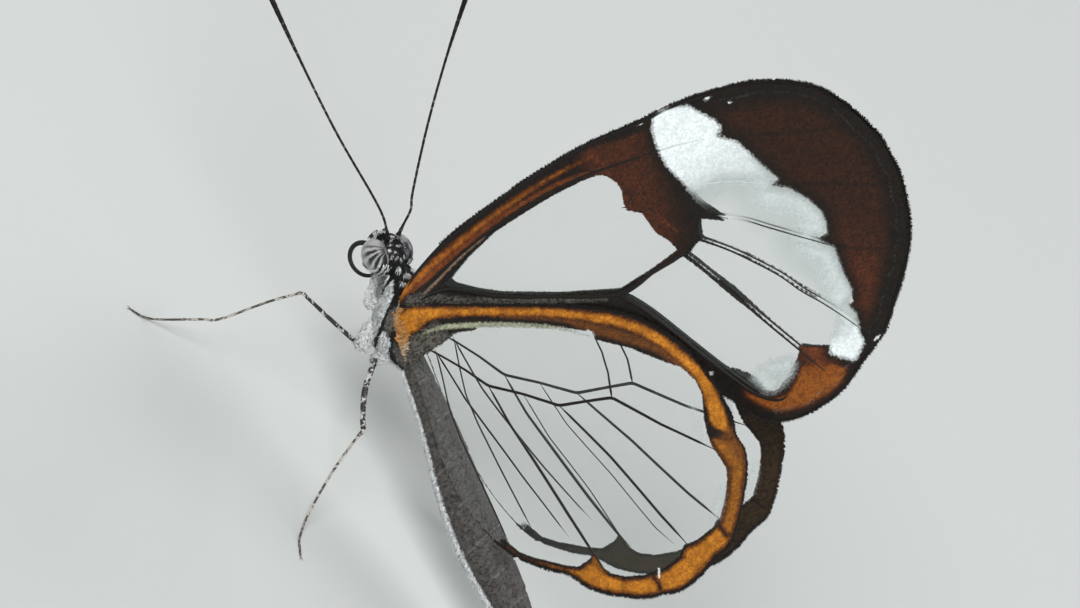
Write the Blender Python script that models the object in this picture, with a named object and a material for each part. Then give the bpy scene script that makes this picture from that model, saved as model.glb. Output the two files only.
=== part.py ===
"""Glasswing butterfly at life size, resting with its wings closed over its back.

The head points to -X, the left side faces -Y, and the feet stand on z = 0.
Places are written in millimetres: x runs to the tail, y to the right side and
z up from the floor. One empty, stance, turns millimetres into metres and puts
the middle of the footprint box on the origin.
"""

import bmesh
import bpy
import numpy as np
from mathutils import Matrix, Vector
from mathutils.geometry import delaunay_2d_cdt

MM = 0.001
GAP = 0.3
LEFT, RIGHT = -1, 1
BOX_MIDDLE = (-3.30, 0.73)

RING_SIDES = 20
TUBE_SIDES_SETTING = 2

# Body: x, z, half width and half height of each section, head to tail.
HEAD_SECTIONS = (
    (-6.85, 9.00, 0.34, 0.34),
    (-6.70, 9.05, 0.52, 0.58),
    (-6.35, 9.12, 0.62, 0.78),
    (-5.90, 9.12, 0.64, 0.84),
    (-5.45, 8.85, 0.62, 0.80),
    (-5.10, 8.55, 0.58, 0.62),
)
THORAX_SECTIONS = (
    (-4.78, 8.35, 0.62, 0.70),
    (-4.30, 8.10, 1.02, 1.30),
    (-3.70, 7.75, 1.26, 1.72),
    (-3.00, 7.40, 1.30, 1.86),
    (-2.30, 7.12, 1.16, 1.66),
    (-1.70, 6.85, 0.86, 1.20),
    (-1.30, 6.68, 0.62, 0.74),
)
ABDOMEN_SECTIONS = (
    (-0.97, 6.58, 0.55, 0.62),
    (0.40, 6.20, 0.68, 0.78),
    (2.30, 5.65, 0.88, 0.98),
    (4.20, 4.98, 1.06, 1.18),
    (6.20, 4.35, 1.18, 1.28),
    (8.20, 3.88, 1.20, 1.26),
    (10.20, 3.52, 1.08, 1.10),
    (12.00, 3.25, 0.76, 0.78),
    (13.10, 3.10, 0.40, 0.42),
)
ABDOMEN_SEGMENTS = 7
SEGMENT_LIP = 0.035

EYE_CENTRE = (-6.02, 0.50, 8.86)
EYE_RADII = (0.66, 0.76, 0.80)
EYE_FLAT = 0.62

# Feelers, palps, tongue and legs: x, y, z and radius along each middle line.
ANTENNA_LEFT_LINE = (
    (-6.40, -0.42, 9.60, 0.25),
    (-7.20, -0.62, 10.25, 0.25),
    (-8.60, -0.95, 10.80, 0.25),
    (-12.00, -1.75, 11.75, 0.25),
    (-16.00, -2.60, 13.05, 0.27),
    (-19.60, -3.10, 14.15, 0.29),
    (-21.10, -3.25, 14.55, 0.20),
)
ANTENNA_RIGHT_LINE = (
    (-6.40, 0.42, 9.60, 0.25),
    (-6.75, 0.60, 10.50, 0.25),
    (-7.60, 1.00, 11.35, 0.25),
    (-9.90, 2.00, 13.70, 0.25),
    (-12.10, 2.90, 16.30, 0.27),
    (-14.35, 3.70, 19.40, 0.29),
    (-15.30, 4.00, 20.80, 0.20),
)
PALP_LINE = (
    (-6.75, 0.42, 8.05, 0.25),
    (-7.15, 0.42, 8.45, 0.25),
    (-7.30, 0.42, 8.90, 0.25),
    (-7.25, 0.42, 9.35, 0.16),
)
COIL_CENTRE = (-6.30, 7.22)
COIL_RADIUS = 0.58
COIL_TUBE = 0.24
COIL_START_DEG, COIL_END_DEG = 80, 370

FORELEG_LINE = (
    (-4.30, 0.55, 7.20, 0.25),
    (-4.60, 0.62, 6.35, 0.25),
    (-5.05, 0.60, 6.10, 0.25),
    (-5.35, 0.52, 6.50, 0.18),
)
MIDLEG_LEFT_LINE = (
    (-3.40, -0.60, 6.60, 0.30),
    (-3.50, -0.95, 5.35, 0.30),
    (-5.10, -1.95, 5.50, 0.28),
    (-6.68, -3.00, 5.80, 0.26),
    (-7.25, -3.70, 4.35, 0.25),
    (-7.84, -4.60, 2.25, 0.25),
    (-8.71, -5.50, 1.28, 0.25),
    (-9.60, -6.30, 0.42, 0.25),
    (-10.10, -6.70, 0.20, 0.25),
    (-10.70, -7.10, 0.18, 0.20),
)
HINDLEG_LEFT_LINE = (
    (-2.50, -0.55, 6.60, 0.30),
    (-2.20, -1.10, 5.70, 0.30),
    (-1.28, -1.90, 4.85, 0.28),
    (0.20, -3.00, 4.26, 0.26),
    (0.84, -4.00, 2.70, 0.25),
    (1.42, -4.80, 1.65, 0.25),
    (2.10, -5.65, 0.75, 0.25),
    (2.70, -6.25, 0.25, 0.25),
    (3.10, -6.62, 0.20, 0.25),
    (3.55, -7.00, 0.18, 0.20),
)
MIDLEG_RIGHT_LINE = (
    (-3.40, 0.60, 6.60, 0.30),
    (-3.50, 1.15, 5.55, 0.30),
    (-3.90, 2.20, 6.10, 0.28),
    (-4.25, 3.30, 6.35, 0.26),
    (-4.20, 4.30, 4.60, 0.25),
    (-4.05, 5.45, 2.45, 0.25),
    (-3.80, 6.60, 1.20, 0.25),
    (-3.60, 7.60, 0.42, 0.25),
    (-3.50, 8.10, 0.20, 0.25),
    (-3.40, 8.70, 0.18, 0.20),
)
HINDLEG_RIGHT_LINE = (
    (-2.50, 0.55, 6.60, 0.30),
    (-2.05, 1.10, 5.70, 0.30),
    (-0.60, 1.80, 5.35, 0.28),
    (1.60, 2.70, 4.95, 0.26),
    (3.10, 3.20, 3.40, 0.25),
    (4.70, 3.70, 1.85, 0.25),
    (6.00, 4.10, 0.95, 0.25),
    (7.20, 4.45, 0.32, 0.25),
    (7.80, 4.60, 0.20, 0.25),
    (8.50, 4.80, 0.18, 0.20),
)
POINTS_PER_STRETCH = 4

# Wings: outlines and veins as x, z in the plane of the body.
WING_THICKNESS = 0.5
WING_REST = 0.40
WING_ROOT_SPREAD = 1.20
WING_ROOT_REACH = 3.0
FORE_HINGE = (-3.6, 8.9)
HIND_HINGE = (-2.3, 8.3)
HIND_OVER_FORE = 0.92
HIND_FLARE = 0.60
HIND_SPAN = 18.0
EDGE_STEP = 1.0
VEIN_STEP = 1.5
VEIN_HALF_WIDTH = 0.26
VEIN_RISE = 0.13

FOREWING_OUTLINE = (
    (-3.9, 8.7), (-4.4, 10.2), (-5.1, 13.4), (-5.1, 18.6), (-4.6, 23.4),
    (-3.9, 28.5), (-2.6, 31.8), (-0.8, 34.1), (2.3, 35.2), (4.9, 34.7),
    (7.8, 32.5), (9.8, 29.5), (11.0, 25.8), (10.9, 23.4), (9.9, 21.4),
    (7.4, 20.1), (4.2, 19.1), (2.5, 18.0), (0.9, 15.7), (-0.9, 13.0),
    (-2.2, 11.3), (-2.9, 9.9), (-3.1, 8.6),
)
FOREWING_VEINS = (
    ((-4.0, 9.6), (-4.5, 13.0), (-4.55, 18.0), (-4.1, 23.0), (-3.4, 27.8), (-1.6, 31.9)),
    ((-3.6, 9.6), (-3.2, 11.2), (-3.6, 15.0), (-3.75, 19.0), (-3.2, 22.0), (-2.4, 25.0)),
    ((-3.4, 9.6), (-3.1, 11.0), (-0.8, 14.2), (1.7, 18.6), (1.8, 23.1)),
    ((-3.3, 21.8), (-1.8, 22.1), (0.0, 22.5), (1.8, 23.1)),
    ((1.8, 23.1), (4.6, 23.9), (8.4, 25.4), (10.4, 26.4)),
    ((1.3, 23.6), (4.2, 26.2), (7.0, 28.2), (9.0, 30.0)),
    ((0.5, 24.0), (1.9, 26.6), (4.5, 29.4), (6.8, 32.6)),
    ((-1.6, 24.6), (-0.4, 28.0), (1.4, 31.2), (3.4, 34.0)),
    ((-2.4, 25.0), (-1.8, 28.6), (-0.6, 31.4), (0.6, 33.8)),
    ((1.7, 18.6), (4.6, 20.2), (7.6, 21.0), (9.6, 22.6)),
)
HINDWING_OUTLINE = (
    (-2.4, 8.6), (-2.1, 10.2), (-1.6, 12.1), (-0.9, 14.1), (0.5, 16.5),
    (2.0, 19.1), (3.5, 20.4), (6.1, 21.3), (8.9, 21.2), (11.1, 20.5),
    (12.9, 18.7), (14.0, 16.6), (14.55, 13.6), (13.8, 10.8), (11.8, 8.6),
    (9.8, 6.8), (7.4, 5.7), (4.2, 5.5), (1.0, 6.3), (-0.8, 7.1),
    (-2.0, 7.9),
)
HINDWING_VEINS = (
    ((-1.8, 9.0), (-0.2, 13.2), (1.9, 17.6), (4.2, 19.5), (7.0, 20.4)),
    ((-1.6, 8.8), (0.3, 9.8), (1.7, 10.4), (2.7, 11.6), (4.3, 13.1), (5.5, 15.8)),
    ((5.5, 15.8), (7.2, 17.1), (9.4, 18.7), (10.9, 19.9)),
    ((5.5, 15.8), (4.2, 16.6), (3.0, 18.2)),
    ((4.4, 13.2), (7.6, 13.9), (11.0, 14.4), (13.9, 15.2)),
    ((1.9, 10.5), (5.6, 10.2), (8.3, 10.2), (12.6, 10.6)),
    ((-0.9, 8.7), (2.6, 8.9), (5.1, 9.0), (9.6, 8.0)),
    ((-0.9, 8.3), (1.1, 7.9), (4.2, 7.2), (7.2, 6.8)),
)

# Colours of the photographed animal: base colour and roughness.
FINISHES = {
    "head": ((0.035, 0.030, 0.028, 1.0), 0.70),
    "thorax": ((0.060, 0.055, 0.050, 1.0), 0.75),
    "abdomen": ((0.050, 0.040, 0.034, 1.0), 0.60),
    "eye": ((0.42, 0.40, 0.44, 1.0), 0.20),
    "feeler": ((0.015, 0.012, 0.010, 1.0), 0.55),
    "palp": ((0.45, 0.42, 0.38, 1.0), 0.80),
    "tongue": ((0.020, 0.012, 0.010, 1.0), 0.35),
    "leg": ((0.16, 0.12, 0.09, 1.0), 0.60),
    "forewing": ((0.33, 0.25, 0.19, 1.0), 0.45),
    "hindwing": ((0.40, 0.22, 0.10, 1.0), 0.45),
}


def clear_scene():
    for item in list(bpy.data.objects):
        bpy.data.objects.remove(item, do_unlink=True)


def new_collection(name):
    made = bpy.data.collections.new(name)
    bpy.context.scene.collection.children.link(made)
    return made


def new_material(name, finish):
    colour, roughness = FINISHES[finish]
    made = bpy.data.materials.new(name)
    made.use_nodes = True
    surface = made.node_tree.nodes["Principled BSDF"]
    surface.inputs["Base Color"].default_value = colour
    surface.inputs["Roughness"].default_value = roughness
    surface.inputs["Metallic"].default_value = 0.0
    made.diffuse_color = colour
    return made


def add_stance(collection):
    """The empty that holds every node: millimetres to metres, middle to the origin."""
    stance = bpy.data.objects.new("stance", None)
    stance.scale = (MM, MM, MM)
    stance.location = (-BOX_MIDDLE[0] * MM, -BOX_MIDDLE[1] * MM, 0.0)
    collection.objects.link(stance)
    return stance


def object_of(name, grid, collection):
    """A mesh object from a bmesh, shaded smooth."""
    mesh = bpy.data.meshes.new(name)
    grid.to_mesh(mesh)
    grid.free()
    mesh.shade_smooth()
    made = bpy.data.objects.new(name, mesh)
    collection.objects.link(made)
    return made


def finish_node(made, finish, stance):
    made.data.materials.clear()
    made.data.materials.append(new_material(made.name + "_finish", finish))
    made.parent = stance
    return made


def through(points, per_stretch):
    """A Catmull-Rom curve through hand-set points, sampled evenly in each stretch."""
    rows = np.array(points, float)
    ends = np.vstack([2 * rows[0] - rows[1], rows, 2 * rows[-1] - rows[-2]])
    share = np.arange(per_stretch)[:, None] / per_stretch
    runs = []
    for i in range(len(rows) - 1):
        a, b, c, d = ends[i : i + 4]
        runs.append(
            0.5
            * (
                2 * b
                + (c - a) * share
                + (2 * a - 5 * b + 4 * c - d) * share**2
                + (3 * b - a - 3 * c + d) * share**3
            )
        )
    runs.append(rows[-1:])
    return np.vstack(runs)


def evenly(line, step):
    """The same polyline with points about one step apart, its two ends kept."""
    lengths = np.hypot(*np.diff(line, axis=0).T)
    travelled = np.concatenate([[0.0], np.cumsum(lengths)])
    count = max(2, int(round(travelled[-1] / step)) + 1)
    wanted = np.linspace(0.0, travelled[-1], count)
    return np.column_stack([np.interp(wanted, travelled, line[:, i]) for i in (0, 1)])


def section_rings(sections, per_stretch, grow=0.0):
    """Elliptical rings square to the middle line: middle, tangent and half sizes."""
    rows = through(sections, per_stretch)
    tangent = np.gradient(rows[:, :2], axis=0)
    tangent /= np.linalg.norm(tangent, axis=1)[:, None]
    rows[:, 2:] += grow
    return rows, tangent


def loft(name, rows, tangent, collection):
    """Rings joined into one closed skin with flat ends."""
    turn = np.arange(RING_SIDES) * 2 * np.pi / RING_SIDES
    grid = bmesh.new()
    rings = []
    for (x, z, half_width, half_height), (along_x, along_z) in zip(rows, tangent):
        side = half_width * np.cos(turn)
        lift = half_height * np.sin(turn)
        rings.append(
            [
                grid.verts.new((x - along_z * up, y, z + along_x * up))
                for y, up in zip(side, lift)
            ]
        )
    for first, second in zip(rings, rings[1:]):
        for i in range(RING_SIDES):
            j = (i + 1) % RING_SIDES
            grid.faces.new((first[i], first[j], second[j], second[i]))
    grid.faces.new(rings[0][::-1])
    grid.faces.new(rings[-1])
    bmesh.ops.recalc_face_normals(grid, faces=grid.faces)
    return object_of(name, grid, collection)


def body_length(name, sections, per_stretch, collection, grow=0.0):
    rows, tangent = section_rings(sections, per_stretch, grow)
    return loft(name, rows, tangent, collection)


def abdomen(collection):
    """The tapered abdomen, each segment swelling to a small lip at its rear edge."""
    rows, tangent = section_rings(ABDOMEN_SECTIONS, 3)
    share = np.linspace(0.0, ABDOMEN_SEGMENTS, len(rows))
    swell = 1.0 + SEGMENT_LIP * (2.0 * (share % 1.0) - 1.0)
    rows[1:-1, 2:] *= swell[1:-1, None]
    return loft("abdomen", rows, tangent, collection)


def tube(name, line, collection, per_stretch=POINTS_PER_STRETCH):
    """A round curve object of changing radius, made a mesh with its caps welded."""
    rows = through(line, per_stretch)
    path = bpy.data.curves.new(name, "CURVE")
    path.dimensions = "3D"
    path.bevel_depth = 1.0
    path.bevel_resolution = TUBE_SIDES_SETTING
    path.use_fill_caps = True
    spline = path.splines.new("POLY")
    spline.points.add(len(rows) - 1)
    for point, (x, y, z, radius) in zip(spline.points, rows):
        point.co = (x, y, z, 1.0)
        point.radius = radius
    carrier = bpy.data.objects.new(name + "_line", path)
    collection.objects.link(carrier)
    graph = bpy.context.evaluated_depsgraph_get()
    mesh = bpy.data.meshes.new_from_object(carrier.evaluated_get(graph))
    bpy.data.objects.remove(carrier, do_unlink=True)
    grid = bmesh.new()
    grid.from_mesh(mesh)
    bpy.data.meshes.remove(mesh)
    bmesh.ops.remove_doubles(grid, verts=grid.verts, dist=1e-4)
    bmesh.ops.recalc_face_normals(grid, faces=grid.faces)
    return object_of(name, grid, collection)


def cut_flat(made, point, normal):
    """Takes off what lies past a plane on the side that the normal points to."""
    grid = bmesh.new()
    grid.from_mesh(made.data)
    whole = grid.verts[:] + grid.edges[:] + grid.faces[:]
    bmesh.ops.bisect_plane(
        grid, geom=whole, dist=1e-4, plane_co=point, plane_no=normal, clear_outer=True
    )
    rim = [edge for edge in grid.edges if edge.is_boundary]
    bmesh.ops.holes_fill(grid, edges=rim)
    bmesh.ops.recalc_face_normals(grid, faces=grid.faces)
    grid.to_mesh(made.data)
    grid.free()


def keep_largest(made):
    """Leaves only the closed surface with the most room inside."""
    grid = bmesh.new()
    grid.from_mesh(made.data)
    bmesh.ops.triangulate(grid, faces=grid.faces)
    left, islands = set(grid.faces), []
    while left:
        island, edge_of_search = set(), [left.pop()]
        while edge_of_search:
            face = edge_of_search.pop()
            island.add(face)
            for edge in face.edges:
                for other in edge.link_faces:
                    if other in left:
                        left.remove(other)
                        edge_of_search.append(other)
        room = sum(
            f.verts[0].co.dot(f.verts[1].co.cross(f.verts[2].co)) for f in island
        )
        islands.append((room, island))
    islands.sort(key=lambda pair: pair[0], reverse=True)
    for _, island in islands[1:]:
        bmesh.ops.delete(grid, geom=list(island), context="FACES")
    grid.to_mesh(made.data)
    grid.free()


def subtract(made, cutter):
    """Cuts one mesh with another, applies it and keeps the main piece."""
    cut = made.modifiers.new("clear", "BOOLEAN")
    cut.operation = "DIFFERENCE"
    cut.solver = "EXACT"
    cut.object = cutter
    graph = bpy.context.evaluated_depsgraph_get()
    mesh = bpy.data.meshes.new_from_object(made.evaluated_get(graph))
    made.modifiers.clear()
    made.data = mesh
    keep_largest(made)


def ellipsoid(name, centre, radii, collection, side=RIGHT):
    grid = bmesh.new()
    bmesh.ops.create_uvsphere(grid, u_segments=20, v_segments=12, radius=1.0)
    x, y, z = centre
    place = Matrix.Translation((x, side * y, z)) @ Matrix.Diagonal((*radii, 1.0))
    bmesh.ops.transform(grid, matrix=place, verts=grid.verts)
    return object_of(name, grid, collection)


def wing_rest(points):
    """Distance of the forewing's middle sheet from the plane of the body."""
    away = np.hypot(points[:, 0] - FORE_HINGE[0], points[:, 1] - FORE_HINGE[1])
    return WING_REST + WING_ROOT_SPREAD * np.exp(-((away / WING_ROOT_REACH) ** 2))


def hindwing_rest(points):
    """The hindwing lies outside the forewing and flares a little to its edge."""
    away = np.hypot(points[:, 0] - HIND_HINGE[0], points[:, 1] - HIND_HINGE[1])
    over = HIND_OVER_FORE * (1.0 - np.exp(-((away / 2.0) ** 2)))
    flare = HIND_FLARE * np.minimum(away / HIND_SPAN, 1.0) ** 2
    return wing_rest(points) + over + flare


def closed_outline(points, step):
    """A smooth closed edge through the outline's points."""
    rows = np.array(points, float)
    wrapped = np.vstack([rows[-2:], rows, rows[:2]])
    smooth = through(wrapped, 6)[12:-12]
    return evenly(np.vstack([smooth, smooth[:1]]), step)[:-1]


def distance_to(points, line):
    """Shortest distance of each point to a polyline."""
    best = np.full(len(points), np.inf)
    for start, end in zip(line, line[1:]):
        run = end - start
        share = np.clip(((points - start) @ run) / (run @ run), 0.0, 1.0)
        nearest = start + share[:, None] * run
        best = np.minimum(best, np.hypot(*(points - nearest).T))
    return best


def inside(points, outline):
    """Whether each point lies within a closed outline, by counting crossings."""
    x, z = points[:, 0], points[:, 1]
    found = np.zeros(len(points), bool)
    for (ax, az), (bx, bz) in zip(outline, np.roll(outline, -1, axis=0)):
        level = (az > z) != (bz > z)
        reach = ax + (z - az) * (bx - ax) / np.where(bz == az, 1.0, bz - az)
        found ^= level & (x < reach)
    return found


def vein_strips(veins, outline):
    """Points and edges of each vein's crest and of the two feet beside it."""
    points, edges = [], []
    for vein in veins:
        crest = evenly(through(vein, 6), VEIN_STEP)
        along = np.gradient(crest, axis=0)
        along /= np.linalg.norm(along, axis=1)[:, None]
        across = np.column_stack([-along[:, 1], along[:, 0]])
        for shift in (0.0, VEIN_HALF_WIDTH, -VEIN_HALF_WIDTH):
            line = crest + shift * across
            keep = inside(line, outline)
            keep &= distance_to(line, np.vstack([outline, outline[:1]])) > 0.2
            line = line[keep]
            first = len(points)
            points.extend(line)
            edges.extend((first + i, first + i + 1) for i in range(len(line) - 1))
    return points, edges


def wing(name, side, outline_points, veins, rest, collection):
    """A sheet with one triangulation on both faces, its veins raised outside."""
    outline = closed_outline(outline_points, EDGE_STEP)
    count = len(outline)
    points, edges = vein_strips(veins, outline)
    edges = [(a + count, b + count) for a, b in edges]
    flat = [Vector(p) for p in np.vstack([outline, points])]
    result = delaunay_2d_cdt(flat, edges, [list(range(count))], 1, 1e-4)
    spots = np.array([tuple(p) for p in result[0]])
    faces = result[2]
    middle = rest(spots)
    rise = np.zeros(len(spots))
    for vein in veins:
        away = distance_to(spots, evenly(through(vein, 6), VEIN_STEP))
        rise = np.maximum(rise, VEIN_RISE * (1.0 - away / VEIN_HALF_WIDTH))
    used = sorted({corner for face in faces for corner in face})
    grid = bmesh.new()
    outer, inner = {}, {}
    for i in used:
        x, z = spots[i]
        outside = middle[i] + WING_THICKNESS / 2 + max(rise[i], 0.0)
        outer[i] = grid.verts.new((x, side * outside, z))
        inner[i] = grid.verts.new((x, side * (middle[i] - WING_THICKNESS / 2), z))
    rims = {}
    for face in faces:
        grid.faces.new([outer[i] for i in face])
        grid.faces.new([inner[i] for i in reversed(face)])
        for a, b in zip(face, face[1:] + face[:1]):
            rims[(a, b)] = rims.get((b, a), 0) + 1 if (b, a) in rims else 1
            if (b, a) in rims:
                del rims[(a, b)], rims[(b, a)]
    for a, b in rims:
        grid.faces.new((outer[b], outer[a], inner[a], inner[b]))
    bmesh.ops.recalc_face_normals(grid, faces=grid.faces)
    return object_of(name, grid, collection)


def mirrored(line, side):
    return [(x, side * y, z, radius) for x, y, z, radius in line]


def proboscis_line():
    """The coiled tongue: one turn that starts under the face and runs inwards."""
    line = []
    for turn in np.linspace(COIL_START_DEG, COIL_END_DEG, 13):
        angle = np.radians(turn)
        share = (turn - COIL_START_DEG) / (COIL_END_DEG - COIL_START_DEG)
        reach = COIL_RADIUS * (1.0 - 0.12 * share)
        x = COIL_CENTRE[0] + reach * np.cos(angle)
        z = COIL_CENTRE[1] + reach * np.sin(angle)
        line.append((x, 0.0, z, COIL_TUBE))
    return line


def build():
    clear_scene()
    parts = new_collection("glasswing_butterfly")
    helpers = new_collection("helpers")
    stance = add_stance(parts)

    head_room = body_length("head_room", HEAD_SECTIONS, 3, helpers, GAP)
    thorax_room = body_length("thorax_room", THORAX_SECTIONS, 3, helpers, GAP)

    head = body_length("head", HEAD_SECTIONS, 3, parts)
    for side, word in ((LEFT, "left"), (RIGHT, "right")):
        seat_radii = [radius + GAP for radius in EYE_RADII]
        seat = ellipsoid("seat_" + word, EYE_CENTRE, seat_radii, helpers, side)
        cut_flat(seat, (0.0, side * (EYE_FLAT - GAP), 0.0), (0.0, -side, 0.0))
        subtract(head, seat)
        eye = ellipsoid("eye_" + word, EYE_CENTRE, EYE_RADII, parts, side)
        cut_flat(eye, (0.0, side * EYE_FLAT, 0.0), (0.0, -side, 0.0))
        finish_node(eye, "eye", stance)
    finish_node(head, "head", stance)
    thorax = body_length("thorax", THORAX_SECTIONS, 3, parts)
    finish_node(thorax, "thorax", stance)
    finish_node(abdomen(parts), "abdomen", stance)

    for side, word in ((LEFT, "left"), (RIGHT, "right")):
        palp = tube("palp_" + word, mirrored(PALP_LINE, side), parts, 3)
        subtract(palp, head_room)
        finish_node(palp, "palp", stance)
        foreleg = tube("foreleg_" + word, mirrored(FORELEG_LINE, side), parts, 3)
        subtract(foreleg, thorax_room)
        finish_node(foreleg, "leg", stance)

    tongue = tube("proboscis", proboscis_line(), parts, 1)
    subtract(tongue, head_room)
    finish_node(tongue, "tongue", stance)

    for name, line in (
        ("antenna_left", ANTENNA_LEFT_LINE),
        ("antenna_right", ANTENNA_RIGHT_LINE),
    ):
        feeler = tube(name, line, parts)
        subtract(feeler, head_room)
        finish_node(feeler, "feeler", stance)

    for name, line in (
        ("midleg_left", MIDLEG_LEFT_LINE),
        ("midleg_right", MIDLEG_RIGHT_LINE),
        ("hindleg_left", HINDLEG_LEFT_LINE),
        ("hindleg_right", HINDLEG_RIGHT_LINE),
    ):
        leg = tube(name, line, parts)
        subtract(leg, thorax_room)
        cut_flat(leg, (0.0, 0.0, 0.0), (0.0, 0.0, -1.0))
        finish_node(leg, "leg", stance)

    for side, word in ((LEFT, "left"), (RIGHT, "right")):
        fore = wing(
            "forewing_" + word, side, FOREWING_OUTLINE, FOREWING_VEINS, wing_rest, parts
        )
        subtract(fore, thorax_room)
        finish_node(fore, "forewing", stance)
        hind = wing(
            "hindwing_" + word, side, HINDWING_OUTLINE, HINDWING_VEINS, hindwing_rest, parts
        )
        subtract(hind, thorax_room)
        finish_node(hind, "hindwing", stance)

    for helper in list(helpers.objects):
        bpy.data.objects.remove(helper, do_unlink=True)


build()
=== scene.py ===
import bpy
import numpy as np
from mathutils import Matrix, Vector


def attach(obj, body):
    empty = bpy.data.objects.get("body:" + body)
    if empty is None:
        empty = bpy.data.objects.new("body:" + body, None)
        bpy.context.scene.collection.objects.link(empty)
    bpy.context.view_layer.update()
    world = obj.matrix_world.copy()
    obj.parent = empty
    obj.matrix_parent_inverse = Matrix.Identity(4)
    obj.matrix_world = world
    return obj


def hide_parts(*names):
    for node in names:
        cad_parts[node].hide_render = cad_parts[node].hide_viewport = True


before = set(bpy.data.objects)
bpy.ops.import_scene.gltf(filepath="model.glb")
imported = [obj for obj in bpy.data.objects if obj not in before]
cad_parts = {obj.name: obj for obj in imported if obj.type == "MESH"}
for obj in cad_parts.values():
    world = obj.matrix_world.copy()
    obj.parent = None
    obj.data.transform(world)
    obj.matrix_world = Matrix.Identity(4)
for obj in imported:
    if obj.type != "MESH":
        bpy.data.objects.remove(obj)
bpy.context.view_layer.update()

BODY = "root"

# Places are written in millimetres in the insect's own plan, as in the solids:
# x to the tail, y to the right side, z up from the floor.
MM = 0.001
BOX_MIDDLE = np.array([-3.30, 0.73, 0.0])
SIDES = (("left", -1.0), ("right", 1.0))

# The photograph's view.
VIEW_TILT_DEG = 35.0
VIEW_ROLL_DEG = 55.7
VIEW_CENTRE = (0.0, 0.0, 14.56)
VIEW_DISTANCE = 350.0
FRAME_WIDTH_PX = 1080
PX_PER_MM = 21.6
SENSOR_MM = 36.0
EXPOSURE = -0.48

NOWHERE = -9.0  # the depth inside a zone that a wing or a skin doesn't have
CURVE_STEPS = 12


def metres(points):
    """Plan millimetres to frame metres."""
    return (np.asarray(points, float) - BOX_MIDDLE) * MM


def smooth(low, high, value):
    """0 below low, 1 above high, with a smooth turn between."""
    share = np.clip((value - low) / (high - low), 0.0, 1.0)
    return share * share * (3.0 - 2.0 * share)


def hump(value, width):
    """1 where the value is zero, falling away over the width."""
    return np.exp(-((value / width) ** 2))


def unit(rows):
    """Each row made one long."""
    return rows / np.maximum(np.linalg.norm(rows, axis=-1, keepdims=True), 1e-9)


def travel(rows):
    """Distance along a line at each of its points."""
    return np.concatenate([[0.0], np.cumsum(np.linalg.norm(np.diff(rows, axis=0), axis=1))])


def resampled(line, travelled, count):
    wanted = np.linspace(0.0, travelled[-1], count)
    return np.column_stack([np.interp(wanted, travelled, column) for column in line.T])


def curve_through(points, count):
    """A Catmull-Rom curve through given points, count samples even in arc length."""
    rows = np.asarray(points, float)
    ends = np.vstack([2 * rows[0] - rows[1], rows, 2 * rows[-1] - rows[-2]])
    a, b, c, d = (ends[i : len(ends) - 3 + i, None, :] for i in range(4))
    t = np.linspace(0.0, 1.0, CURVE_STEPS, endpoint=False)[None, :, None]
    line = 0.5 * (
        2 * b
        + (c - a) * t
        + (2 * a - 5 * b + 4 * c - d) * t**2
        + (3 * b - a - 3 * c + d) * t**3
    )
    line = np.vstack([line.reshape(-1, rows.shape[1]), rows[-1:]])
    return resampled(line, travel(line[:, :3]), count)


def mesh_piece(name, points, faces, slot_name, material, nodes=(), marks=None, smooth_faces=True):
    """A piece from plan millimetres: arrays of faces, and numbers its material reads."""
    sizes = np.concatenate([np.full(len(f), f.shape[1]) for f in faces])
    corners = np.concatenate([f.reshape(-1) for f in faces]).astype(np.int32)
    mesh = bpy.data.meshes.new(name)
    mesh.vertices.add(len(points))
    mesh.vertices.foreach_set("co", metres(points).astype(np.float32).reshape(-1))
    mesh.loops.add(len(corners))
    mesh.loops.foreach_set("vertex_index", corners)
    mesh.polygons.add(len(sizes))
    starts = np.concatenate([[0], np.cumsum(sizes)[:-1]]).astype(np.int32)
    mesh.polygons.foreach_set("loop_start", starts)
    mesh.update(calc_edges=True)
    mesh.validate()
    if smooth_faces:
        mesh.shade_smooth()
    for key, numbers in (marks or {}).items():
        kept = mesh.attributes.new(key, "FLOAT", "POINT")
        kept.data.foreach_set("value", np.asarray(numbers, np.float32))
    mesh.materials.append(material)
    made = bpy.data.objects.new(name, mesh)
    bpy.context.scene.collection.objects.link(made)
    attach(made, BODY)
    if nodes:
        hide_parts(*nodes)
    return made


def unwrap(made, places):
    """An unwrap called OFBake: one u, v for each point."""
    layer = made.data.uv_layers.new(name="OFBake")
    corners = np.empty(len(made.data.loops), np.int32)
    made.data.loops.foreach_get("vertex_index", corners)
    layer.data.foreach_set("uv", places[corners].astype(np.float32).reshape(-1))


def distance_to(points, line):
    """Shortest distance of each point to a polyline, one stretch at a time."""
    best = np.full(len(points), np.inf)
    line = np.asarray(line)
    for start, end in zip(line[:-1], line[1:]):
        run = end - start
        share = np.clip(((points - start) @ run) / max(run @ run, 1e-12), 0.0, 1.0)
        gap = points - start - share[:, None] * run
        best = np.minimum(best, np.einsum("ij,ij->i", gap, gap))
    return np.sqrt(best)


def depth_inside(points, outline):
    """Signed distance to a closed outline: positive inside it, negative outside."""
    ring = np.vstack([outline, outline[:1]])
    x, z = points.T
    odd = np.zeros(len(points), bool)
    for (ax, az), (bx, bz) in zip(ring[:-1], ring[1:]):
        if az == bz:
            continue
        level = (az > z) != (bz > z)
        odd ^= level & (x < ax + (z - az) * (bx - ax) / (bz - az))
    away = distance_to(points, ring)
    return np.where(odd, away, -away)


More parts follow.
